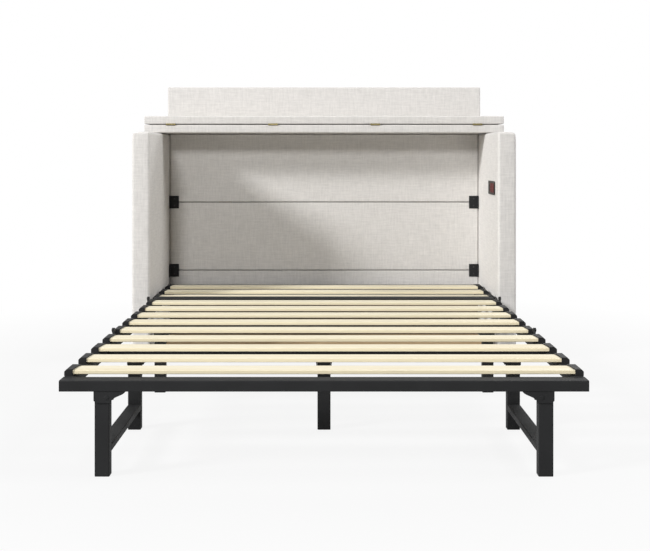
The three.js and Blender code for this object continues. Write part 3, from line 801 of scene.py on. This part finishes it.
def build_corner_plate(node, side):
    """Two flanges with a bend between them, and the two screws that hold the plate."""
    low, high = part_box(node)
    wall, free = (high.x, low.x) if side > 0 else (low.x, high.x)
    face = high.y - PLATE
    bend = PLATE * BEND_SHARE
    outline = [
        (free, high.y), (wall, high.y), (wall, low.y), (wall - PLATE * side, low.y),
        (wall - PLATE * side, face - bend), (wall - (PLATE + bend) * side, face), (free, face),
    ]
    prism_piece(
        f"form_{node}", outline, "Z", (low.z, high.z), STEEL, "cabinet",
        nodes=(node,), bevel=0.8 * MM, segments=3,
    )
    middle = (low.z + high.z) / 2

    def heads(bm):
        for step in (-1, 1):
            add_screw(bm, "Y", ((wall + free) / 2, face, middle + SCREW_RISE * step), -1)

    solid_piece(f"screws_{node}", heads, SCREW, "cabinet", bevel=0.12 * MM, segments=1)


def build_corner_plates():
    for name, side in SIDES:
        for level in ("lower", "upper"):
            build_corner_plate(f"corner_plate_{level}_{name}", side)


# Charging unit: a bezel, two socket faces and a block with two ports

CHARGER_PLATE = 2.5 * MM
BEZEL_CORNER = 6 * MM
BEZEL_RIM = 6 * MM
RECESS_CORNER = 4 * MM
RECESS_DEPTH = 0.8 * MM
CHARGER_BODY_INSET = 4 * MM
INSERT_DEPTH = 1.4 * MM
OPENING_DEPTH = 1.8 * MM
OPENING_OVERRUN = 5 * MM
OPENING_CORNER = 0.6 * MM
EARTH_DROP = 9 * MM
EARTH_RADIUS = 2.6 * MM
SOCKET_SPACING = 44 * MM
SOCKET_SIZE = (38 * MM, 42 * MM, 7 * MM)
PORT_BLOCK_SIZE = (20 * MM, 34 * MM, 3 * MM)
# Each opening's shift along the unit, rise, width and height
BLADES = ((-6.5 * MM, 4 * MM, 2.2 * MM, 9 * MM), (6.5 * MM, 4 * MM, 2.2 * MM, 7.5 * MM))
PORTS = ((0, 8 * MM, 12 * MM, 5 * MM), (0, -8 * MM, 12 * MM, 5 * MM))
# Place along the unit, size, openings, whether it has an earth hole, and finish
INSERTS = (
    (-SOCKET_SPACING, SOCKET_SIZE, BLADES, True, SOCKET),
    (0, SOCKET_SIZE, BLADES, True, SOCKET),
    (SOCKET_SPACING, PORT_BLOCK_SIZE, PORTS, False, CHARGER),
)


def upright_outline(centre, width, height, radius, steps=6):
    """A rounded rectangle round a point in Y and Z."""
    y, z = centre
    return rounded_outline(
        (y - width / 2, z - height / 2), (y + width / 2, z + height / 2), radius, steps,
    )


def build_charger():
    low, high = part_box("charging_unit")
    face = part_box("side_panel_right")[0].x - FIT - CHARGER_PLATE
    middle = ((low.y + high.y) / 2, (low.z + high.z) / 2)
    width, height = high.y - low.y, high.z - low.z
    bezel_outline = upright_outline(middle, width, height, BEZEL_CORNER)
    bezel = prism_mesh("charger_bezel", bezel_outline, "X", face, face + CHARGER_PLATE)
    recess_outline = upright_outline(
        middle, width - BEZEL_RIM * 2, height - BEZEL_RIM * 2, RECESS_CORNER,
    )
    recess = prism_mesh(
        "recess", recess_outline, "X", face - OPENING_OVERRUN, face + RECESS_DEPTH,
    )
    frame_cut = carved(bezel, recess)
    solid_piece(
        "charger_bezel", lambda bm: bm.from_mesh(frame_cut), CHARGER, "cabinet",
        ("charging_unit",), bevel=0.5 * MM, segments=3,
    )
    inset = CHARGER_BODY_INSET
    block_piece(
        "charger_body", (face + CHARGER_PLATE, low.y + inset, low.z + inset),
        (high.x, high.y - inset, high.z - inset), CHARGER, "cabinet", bevel=1 * MM,
    )
    for number, (shift, size, openings, earthed, finish) in enumerate(INSERTS, start=1):
        centre = (middle[0] + shift, middle[1])
        insert = prism_mesh(
            f"socket_{number}", upright_outline(centre, *size), "X", low.x, face + INSERT_DEPTH,
        )
        cut = carved(insert, opening_mesh(centre, openings, earthed, low.x))
        solid_piece(
            f"charger_socket_{number}", lambda bm: bm.from_mesh(cut), finish, "cabinet",
            bevel=0.35 * MM,
        )


def opening_mesh(centre, openings, earthed, front):
    """Two blades and a round earth hole, or two flat ports."""
    ends = (front - OPENING_OVERRUN, front + OPENING_DEPTH)

    def slots(bm):
        if earthed:
            hole = circle_outline((centre[0], centre[1] - EARTH_DROP), EARTH_RADIUS, steps=16)
            add_prism(bm, hole, "X", *ends)
        for shift, rise, width, height in openings:
            middle = (centre[0] + shift, centre[1] + rise)
            outline = upright_outline(middle, width, height, OPENING_CORNER, steps=2)
            add_prism(bm, outline, "X", *ends)

    return shell_mesh("slots", slots)


# Lid hinges: two plates, five knuckles and the pin between them

HINGE_COUNT = 4
HINGE_LENGTH = 45 * MM
HINGE_CORNER = 2 * MM
HINGE_PLATE = 0.9 * MM
HINGE_PLATE_LEVEL = 0.75 * MM
HINGE_PLATE_START = 5.5 * MM
TONGUE_START = 2 * MM
TONGUE_END = 6.5 * MM
KNUCKLES = 5
KNUCKLE_RADIUS = 4.5 * MM
KNUCKLE_GAP = 0.5 * MM
KNUCKLE_CHAMFER = 0.3 * MM
KNUCKLE_END = KNUCKLE_RADIUS * 0.9
HINGE_PIN_RADIUS = 1.4 * MM
HINGE_PIN_INSET = 0.1 * MM


def build_hinge_half(number, kind, first):
    """One plate with every other knuckle; the fixed half carries the pin."""
    node = f"lid_hinge_{kind}_{number}"
    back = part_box(node)[1].y
    axis_y, axis_z = JOINTS["lid_fold"]["pos_m"][1:]
    fixed_low, fixed_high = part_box(f"lid_hinge_fixed_{number}")
    middle_x = (fixed_low.x + fixed_high.x) / 2
    half = HINGE_LENGTH / 2
    pitch = HINGE_LENGTH / KNUCKLES
    reach = (pitch - KNUCKLE_GAP) / 2
    level = HINGE_PLATE_LEVEL if kind == "fixed" else -HINGE_PLATE_LEVEL
    bottom = axis_z - level - HINGE_PLATE / 2
    top = bottom + HINGE_PLATE
    knuckle = [
        (-reach, KNUCKLE_END), (-reach + KNUCKLE_CHAMFER, KNUCKLE_RADIUS),
        (reach - KNUCKLE_CHAMFER, KNUCKLE_RADIUS), (reach, KNUCKLE_END),
    ]

    def flap(bm):
        outline = rounded_outline(
            (middle_x - half, axis_y + HINGE_PLATE_START), (middle_x + half, back),
            HINGE_CORNER, steps=3,
        )
        add_prism(bm, outline, "Z", bottom, top)
        for index in range(first, KNUCKLES, 2):
            x = middle_x - half + pitch * (index + 0.5)
            add_lathe(bm, "X", (x, axis_y, axis_z), knuckle)
            add_block(
                bm, (x - reach, axis_y + TONGUE_START, bottom),
                (x + reach, axis_y + TONGUE_END, top),
            )
        if kind == "fixed":
            end = half - HINGE_PIN_INSET
            pin = [(-end, HINGE_PIN_RADIUS), (end, HINGE_PIN_RADIUS)]
            add_lathe(bm, "X", (middle_x, axis_y, axis_z), pin)

    solid_piece(f"form_{node}", flap, BRASS, body_of(node), (node,), bevel=0.15 * MM, segments=1)


def build_hinges():
    for number in range(1, HINGE_COUNT + 1):
        build_hinge_half(number, "fixed", 0)
        build_hinge_half(number, "moving", 1)


# Bed frame

def metal_tube(node, axis, low, high):
    """The hollow tube that stands for a node."""
    solid_piece(
        f"tube_{node.removesuffix('_tube')}", lambda bm: add_tube(bm, axis, low, high), STEEL,
        body_of(node), (node,), bevel=0.3 * MM, segments=1,
    )


def build_rails():
    for name, side in SIDES:
        for part, (start, end) in RAIL_SPANS.items():
            ends = mirrored((RAIL_INNER, start, RAIL_BOTTOM), (FRAME_HALF, end, RAIL_TOP), side)
            metal_tube(f"{part}_rail_{name}", "Y", *ends)


def build_front_rail():
    low = (-FRAME_HALF + PLATE, front_low.y, RAIL_BOTTOM)
    high = (FRAME_HALF - PLATE, front_high.y, RAIL_TOP)
    metal_tube("front_rail", "X", low, high)
    outline = rounded_outline(low[1:], high[1:], TUBE_CORNER)
    for name, side in SIDES:
        ends = sorted((high[0] * side, FRAME_HALF * side))
        prism_piece(
            f"cap_front_rail_{name}", outline, "X", ends, STEEL, "foot_section",
            bevel=0.8 * MM, segments=3,
        )


# Slats and their holders

SLAT_COUNT = 12
SLAT_CORNER = 2.4 * MM
HOLDER_LENGTH = 69 * MM
HOLDER_DEPTH = 35 * MM
HOLDER_TOP = 297 * MM
HOLDER_CHAMFER = 7 * MM
HOLDER_SLANT = 10 * MM
HOLDER_END_WALL = 8 * MM
MOUTH_STEPS = 8


def holder_mesh(name):
    """The right-hand slat holder, with its front end at Y = 0 and the rest in place."""
    outer, inner = FRAME_HALF, FRAME_HALF - HOLDER_DEPTH
    section = [
        (inner, RAIL_TOP), (outer, RAIL_TOP), (outer, HOLDER_TOP - HOLDER_CHAMFER),
        (outer - HOLDER_CHAMFER, HOLDER_TOP), (inner, HOLDER_TOP),
    ]
    body = prism_mesh(name, section, "Y", 0, HOLDER_LENGTH)
    past, beyond = outer + OVERRUN, HOLDER_LENGTH + OVERRUN
    plan = [(past, -OVERRUN), (past, beyond), (inner, beyond)]
    for step in range(MOUTH_STEPS + 1):
        share = step / MOUTH_STEPS
        plan.append((inner + HOLDER_SLANT * share, HOLDER_LENGTH * (1 - share * share)))
    plan.append((inner + HOLDER_SLANT, -OVERRUN))
    rim = prism_mesh("rim", plan, "Z", RAIL_TOP - OVERRUN, HOLDER_TOP + OVERRUN)
    slat_width = slat_high.y - slat_low.y
    start = (HOLDER_LENGTH - slat_width) / 2 - FIT
    pocket_low = (inner - HOLDER_DEPTH, start, slat_low.z - FIT)
    pocket_high = (outer - HOLDER_END_WALL, start + slat_width + FIT * 2, slat_high.z + FIT)
    pocket = shell_mesh("pocket", lambda bm: add_block(bm, pocket_low, pocket_high))
    cut = carved(carved(body, rim, "INTERSECT"), pocket)
    return shell_mesh(name, lambda bm: bm.from_mesh(cut), 0.5 * MM)


def build_slats():
    """Laminated slats with rounded long edges, and the two holders of each."""
    right = holder_mesh("holder_right")
    left = right.copy()
    left.transform(Matrix.Scale(-1, 4, (1, 0, 0)))
    left.flip_normals()
    meshes = {"left": left, "right": right}
    for number in range(1, SLAT_COUNT + 1):
        node = f"slat_{number:02d}"
        low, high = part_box(node)
        body = body_of(node)
        outline = rounded_outline((low.y, low.z), (high.y, high.z), SLAT_CORNER, steps=5)
        prism_piece(
            f"wood_{node}", outline, "X", (low.x, high.x), BIRCH, body,
            nodes=(node,), bevel=0.4 * MM, segments=1,
        )
        start = (low.y + high.y - HOLDER_LENGTH) / 2
        for name, _ in SIDES:
            mesh = meshes[name].copy()
            mesh.transform(Matrix.Translation((0, start, 0)))
            add_piece(f"holder_{number:02d}_{name}", mesh, HOLDER, body)


# Ears and pins at the two folds

EAR_THICKNESS = 4 * MM
EAR_RADIUS = 8 * MM
EAR_GAP = 1 * MM
EAR_INSET = 4 * MM
EAR_NEAR = 7 * MM
EAR_FAR = 24 * MM
EAR_HEEL = 6 * MM
EAR_RISE = 7 * MM
EYE_START = 60
EYE_TURN = 180
EYE_STEPS = 12
FOLD_HEAD_RADIUS = 6.5 * MM


def ear_outline(fold, direction, base, heel):
    """A hinge ear from the side: its foot, and an eye round the pin."""
    points = [(EAR_NEAR, base), (EAR_FAR, base), (EAR_FAR, base + heel)]
    for step in range(EYE_STEPS + 1):
        turn = math.radians(EYE_START + EYE_TURN * step / EYE_STEPS)
        points.append((EAR_RADIUS * math.cos(turn), EAR_RADIUS * math.sin(turn)))
    return [(fold + along * direction, FOLD_Z + rise) for along, rise in points]


def build_ears():
    """The ears and pins at both folds: the section in front carries the inner ear."""
    pair = EAR_THICKNESS * 2 + EAR_GAP
    kinds = (
        ("foot", FOOT_FOLD, FRAME_HALF - EAR_INSET - pair, RAIL_TOP - FOLD_Z, EAR_HEEL,
         "foot_section", "mid_section"),
        ("rear", MID_FOLD, FRAME_HALF, RAIL_BOTTOM + EAR_RISE - FOLD_Z,
         RAIL_TOP - RAIL_BOTTOM - EAR_RISE, "mid_section", "cabinet"),
    )
    for kind, fold, inner, base, heel, ahead, behind in kinds:
        outer = inner + EAR_THICKNESS + EAR_GAP
        for name, side in SIDES:
            for label, start, direction, body in (
                ("inner", inner, -1, ahead), ("outer", outer, 1, behind),
            ):
                ends = sorted((start * side, (start + EAR_THICKNESS) * side))
                outline = ear_outline(fold, direction, base, heel)
                prism_piece(f"ear_{kind}_{label}_{name}", outline, "X", ends, STEEL, body)
            centre = ((inner + EAR_THICKNESS + EAR_GAP / 2) * side, fold, FOLD_Z)
            pin_piece(
                f"pin_{kind}_fold_{name}", "X", centre, FOLD_HEAD_RADIUS, pair, SCREW, behind,
            )
            if kind == "rear":
                low, high = mirrored(
                    (FRAME_HALF, fold + EAR_NEAR + EAR_INSET, FOLD_Z + base),
                    (outer, fold + EAR_FAR, FOLD_Z + base + heel / 2), side,
                )
                block_piece(f"ear_spacer_{name}", low, high, STEEL, behind, bevel=0.5 * MM)


# Rail mounts and cross tubes

MOUNT_LENGTH = 60 * MM
MOUNT_INSET = 4 * MM
MOUNT_COUNT = 3
CAP_INSET = 0.4 * MM
BRACKET_LAP = 2 * MM


def build_rail_mounts():
    """Spacers that tie the rear rails to the side panels."""
    panel_low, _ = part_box("side_panel_right")
    plank_low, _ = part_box("back_plank_middle")
    first, last = panel_low.y + MOUNT_LENGTH, plank_low.y - MOUNT_LENGTH
    for name, side in SIDES:
        for index in range(MOUNT_COUNT):
            y = first + (last - first) * index / (MOUNT_COUNT - 1)
            low, high = mirrored(
                (FRAME_HALF, y - MOUNT_LENGTH / 2, RAIL_BOTTOM + MOUNT_INSET),
                (panel_low.x - FIT, y + MOUNT_LENGTH / 2, RAIL_TOP - MOUNT_INSET), side,
            )
            mount = f"rail_mount_{name}_{index + 1}"
            block_piece(mount, low, high, STEEL, "cabinet", bevel=0.8 * MM)


def build_cross_tubes():
    metal_tube("rear_cross_tube", "X", rear_tube_low, rear_tube_high)
    low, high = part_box("hinge_cross_bar")
    metal_tube("hinge_cross_bar", "X", low, high)
    inset = TUBE_WALL + FIT / 2
    outline = rounded_outline(
        (low.y + inset, low.z + inset), (high.y - inset, high.z - inset), TUBE_WALL,
    )
    for name, side in SIDES:
        ends = sorted(((high.x - TUBE_WALL * 2) * side, (high.x - CAP_INSET) * side))
        prism_piece(
            f"plug_cross_bar_{name}", outline, "X", ends, HOLDER, "cabinet", bevel=0.4 * MM,
        )
    for part, leg in (("foot", "left_rear_leg"), ("mid", "mid_leg_left")):
        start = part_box(leg)[0].y - BRACKET_LAP
        depth = rear_tube_high.y - rear_tube_low.y
        tube_low = (rear_tube_low.x, start, RAIL_BOTTOM)
        tube_high = (rear_tube_high.x, start + depth, RAIL_TOP)
        metal_tube(f"{part}_cross_tube", "X", tube_low, tube_high)


# Legs and the brackets that they fold in

PLATE_GAP = 0.5 * MM
BRACKET_DROP = 33 * MM
BRACKET_CHAMFER = 7 * MM
GUSSET_REACH = 47 * MM
GUSSET_DROP = 23 * MM
GUSSET_TOE = 8 * MM
GUSSET_STEPS = 14
CENTER_REACH = 14 * MM
STOP_TAB = 2.4 * MM
STOP_GAP = 0.8 * MM
PIVOT_INSET = 8 * MM
PIVOT_Z = RAIL_BOTTOM - 17 * MM
STOP_BOTTOM = PIVOT_Z + PIVOT_INSET + STOP_GAP
PIVOT_HEAD_RADIUS = 7 * MM
FOOT_PROUD = 1.5 * MM


def bezier(controls, share):
    points = [Vector(point) for point in controls]
    while len(points) > 1:
        points = [one.lerp(other, share) for one, other in zip(points, points[1:])]
    return tuple(points[0])


def bracket_outline(outer, inner, side):
    """A cheek in X and Z, with the curved gusset on the leg's inner side."""
    top, tip = RAIL_BOTTOM, inner - GUSSET_REACH
    controls = [
        (tip, top), (tip + GUSSET_TOE, top - GUSSET_DROP / 2),
        (inner - GUSSET_REACH / 2, top - GUSSET_DROP / 2),
        (inner - GUSSET_TOE, top - GUSSET_DROP),
    ]
    edge, bottom = outer + BRACKET_LAP, top - BRACKET_DROP
    points = [(edge, top)]
    points += [bezier(controls, step / GUSSET_STEPS) for step in range(GUSSET_STEPS + 1)]
    points += [
        (inner - GUSSET_TOE / 2, bottom), (edge - BRACKET_CHAMFER, bottom),
        (edge, bottom + BRACKET_CHAMFER),
    ]
    return [(x * side, z) for x, z in points]


def cheeks_piece(leg, outline, axis, starts, body):
    """The two cheeks of a leg's bracket."""
    def build(bm):
        for start in starts:
            add_prism(bm, outline, axis, start, start + PLATE)

    solid_piece(f"bracket_{leg}", build, STEEL, body)


def build_bracket(leg, side, body):
    low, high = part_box(leg)
    outer, inner = max(abs(low.x), abs(high.x)), min(abs(low.x), abs(high.x))
    front, back = low.y - PLATE_GAP - PLATE, high.y + PLATE_GAP
    cheeks_piece(leg, bracket_outline(outer, inner, side), "Y", (front, back), body)
    pivot = ((inner + PIVOT_INSET) * side, (low.y + high.y) / 2, PIVOT_Z)
    length = back + PLATE - front
    pin_piece(f"pivot_{leg}", "Y", pivot, PIVOT_HEAD_RADIUS, length, STEEL, body)
    tab_low, tab_high = mirrored(
        (inner - STOP_TAB, front + PLATE, STOP_BOTTOM), (inner - FIT, back, RAIL_BOTTOM), side,
    )
    block_piece(f"stop_{leg}", tab_low, tab_high, STEEL, body, bevel=0.4 * MM)


def build_leg(node):
    """A hollow leg and the plastic foot plugged into it."""
    low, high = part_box(node)
    foot_top = low.z + FOOT_PROUD
    metal_tube(node, "Z", (low.x, low.y, foot_top), high)
    outline = rounded_outline(
        (low.x + CAP_INSET, low.y + CAP_INSET), (high.x - CAP_INSET, high.y - CAP_INSET),
        TUBE_CORNER,
    )
    ends = (low.z, foot_top)
    prism_piece(f"foot_{node}", outline, "Z", ends, HOLDER, body_of(node), bevel=0.5 * MM)


def build_legs():
    for name, side in SIDES:
        for leg in (f"{name}_front_leg", f"{name}_rear_leg"):
            build_leg(leg)
            build_bracket(leg, side, "foot_section")
        node = f"{name}_stretcher"
        metal_tube(node, "Y", *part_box(node))
        build_leg(f"mid_leg_{name}")
        build_bracket(f"mid_leg_{name}", side, "mid_section")
    build_leg("center_leg")
    build_center_bracket()


def build_center_bracket():
    """The centre leg folds forward, so its cheeks stand on its two sides."""
    leg, body = "center_leg", "foot_section"
    low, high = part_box(leg)
    inner = high.x + PLATE_GAP
    back, front = high.y + BRACKET_LAP, low.y - CENTER_REACH
    bottom = RAIL_BOTTOM - BRACKET_DROP
    outline = [
        (back, RAIL_BOTTOM), (back, bottom), (low.y, bottom),
        (front, RAIL_BOTTOM - BRACKET_DROP / 2), (front, RAIL_BOTTOM),
    ]
    cheeks_piece(leg, outline, "X", (-inner - PLATE, inner), body)
    pivot = (0, low.y + PIVOT_INSET, PIVOT_Z)
    length = (inner + PLATE) * 2
    pin_piece(f"pivot_{leg}", "X", pivot, PIVOT_HEAD_RADIUS, length, SCREW, body)
    tab_low = (-inner, low.y - STOP_TAB, STOP_BOTTOM)
    tab_high = (inner, low.y - FIT, RAIL_BOTTOM)
    block_piece(f"stop_{leg}", tab_low, tab_high, STEEL, body, bevel=0.4 * MM)


# Glides under the side panels

GLIDE_INSET = 60 * MM
GLIDE_RADIUS = 15 * MM
GLIDE_FOOT_RADIUS = GLIDE_RADIUS * 0.9
GLIDE_FOOT_RISE = 0.6 * MM


def build_glides():
    profile = [
        (0, GLIDE_FOOT_RADIUS), (GLIDE_FOOT_RISE, GLIDE_RADIUS), (GLIDE_HEIGHT * 2, GLIDE_RADIUS),
    ]
    for name, _ in SIDES:
        low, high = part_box(f"side_panel_{name}")
        for label, y in (("front", low.y + GLIDE_INSET), ("rear", high.y - GLIDE_INSET)):
            centre = ((low.x + high.x) / 2, y, low.z)
            solid_piece(
                f"glide_{label}_{name}", lambda bm: add_lathe(bm, "Z", centre, profile), GLIDE,
                "cabinet", bevel=0,
            )


# Plain floor, soft light and the camera

# Name, bearing from the camera's axis (left is negative), height angle, distance, size, power
LAMPS = (
    ("key", -62.4, 28.2, 16, 2.6, 2700),
    ("front", -9.3, 25.6, 14, 2.1, 680),
    ("top_right", 83.5, 45, 14, 4.4, 1130),
    ("back", 140, 35, 10, 4, 400),
)
LAMP_TARGET = Vector((0, 0.4, 0.6))
WHITE = (1, 1, 1, 1)
FLOOR_REACH = 30
FLOOR_COLOR = (0.42, 0.42, 0.42, 1)
FLOOR_ROUGHNESS = 0.9
FLOOR_WHITE_NEAR = 0.88
FLOOR_WHITE_RADIUS = 2.6


def background_rays(tree):
    """1 for the rays that show the background: seen directly, mirrored or through glass."""
    rays = tree.nodes.new("ShaderNodeLightPath").outputs
    share = rays["Is Camera Ray"]
    for kind in ("Is Glossy Ray", "Is Transmission Ray"):
        either = tree.nodes.new("ShaderNodeMath")
        either.operation = "MAXIMUM"
        tree.links.new(share, either.inputs[0])
        tree.links.new(rays[kind], either.inputs[1])
        share = either.outputs[0]
    return share


def build_floor():
    """A pale floor that keeps the object's shadow and fades to plain white away from it."""
    mesh = bpy.data.meshes.new("floor")
    square = ((-1, -1), (1, -1), (1, 1), (-1, 1))
    corners = [(x * FLOOR_REACH, y * FLOOR_REACH, 0) for x, y in square]
    mesh.from_pydata(corners, [], [(0, 1, 2, 3)])
    floor = in_scene("floor", mesh)
    n = Nodes("floor")
    n.shader.inputs["Base Color"].default_value = FLOOR_COLOR
    n.shader.inputs["Roughness"].default_value = FLOOR_ROUGHNESS
    glow = n.add("ShaderNodeEmission", {"Color": WHITE, "Strength": 1.0})
    away = n.vector_math("LENGTH", {0: n.object_point()}, "Value")
    fade = (FLOOR_WHITE_RADIUS / 2, FLOOR_WHITE_RADIUS)
    share = n.span(away, (FLOOR_WHITE_NEAR, 1.0), within=fade)
    seen = n.math("MULTIPLY", share, background_rays(n.tree))
    mixed = n.add("ShaderNodeMixShader", {0: seen, 1: n.shader.outputs[0], 2: glow.outputs[0]})
    n.link(mixed.outputs[0], n.tree.nodes["Material Output"].inputs["Surface"])
    mesh.materials.append(n.material)


def build_world():
    world = bpy.data.worlds.new("studio")
    bpy.context.scene.world = world
    world.use_nodes = True
    tree = world.node_tree
    background = tree.nodes["Background"]
    background.inputs["Color"].default_value = WHITE
    tree.links.new(background_rays(tree), background.inputs["Strength"])


def build_lamps():
    """Square lamps round the object, each turned towards its middle."""
    for name, bearing, height, distance, size, watts in LAMPS:
        light = bpy.data.lights.new(name, "AREA")
        light.size = size
        light.energy = watts
        lamp = in_scene(name, light)
        a, e = math.radians(bearing), math.radians(height)
        back = Vector((math.sin(a) * math.cos(e), -math.cos(a) * math.cos(e), math.sin(e)))
        lamp.location = LAMP_TARGET + back * distance
        lamp.rotation_euler = (-back).to_track_quat("-Z", "Y").to_euler()


def build_camera():
    data = bpy.data.cameras.new("camera")
    data.sensor_fit = "HORIZONTAL"
    data.sensor_width = SENSOR_WIDTH
    data.lens = PHOTO_FOCAL / PHOTO_WIDTH * SENSOR_WIDTH
    data.shift_x = (PHOTO_WIDTH / 2 - PHOTO_MIDDLE) / PHOTO_WIDTH
    data.shift_y = (PHOTO_HORIZON - PHOTO_HEIGHT / 2) / PHOTO_WIDTH
    camera = in_scene("camera", data)
    camera.location = (0, cad_box[0][1] - CAMERA_TO_FOOT, CAMERA_HEIGHT)
    camera.rotation_euler = (math.pi / 2, 0, 0)
    bpy.context.scene.camera = camera


build_covers()
build_boards()
build_corner_plates()
build_charger()
build_hinges()
build_rails()
build_front_rail()
build_slats()
build_ears()
build_rail_mounts()
build_cross_tubes()
build_legs()
build_glides()
build_floor()
build_world()
build_lamps()
build_camera()
bpy.context.scene.view_settings.view_transform = "Standard"
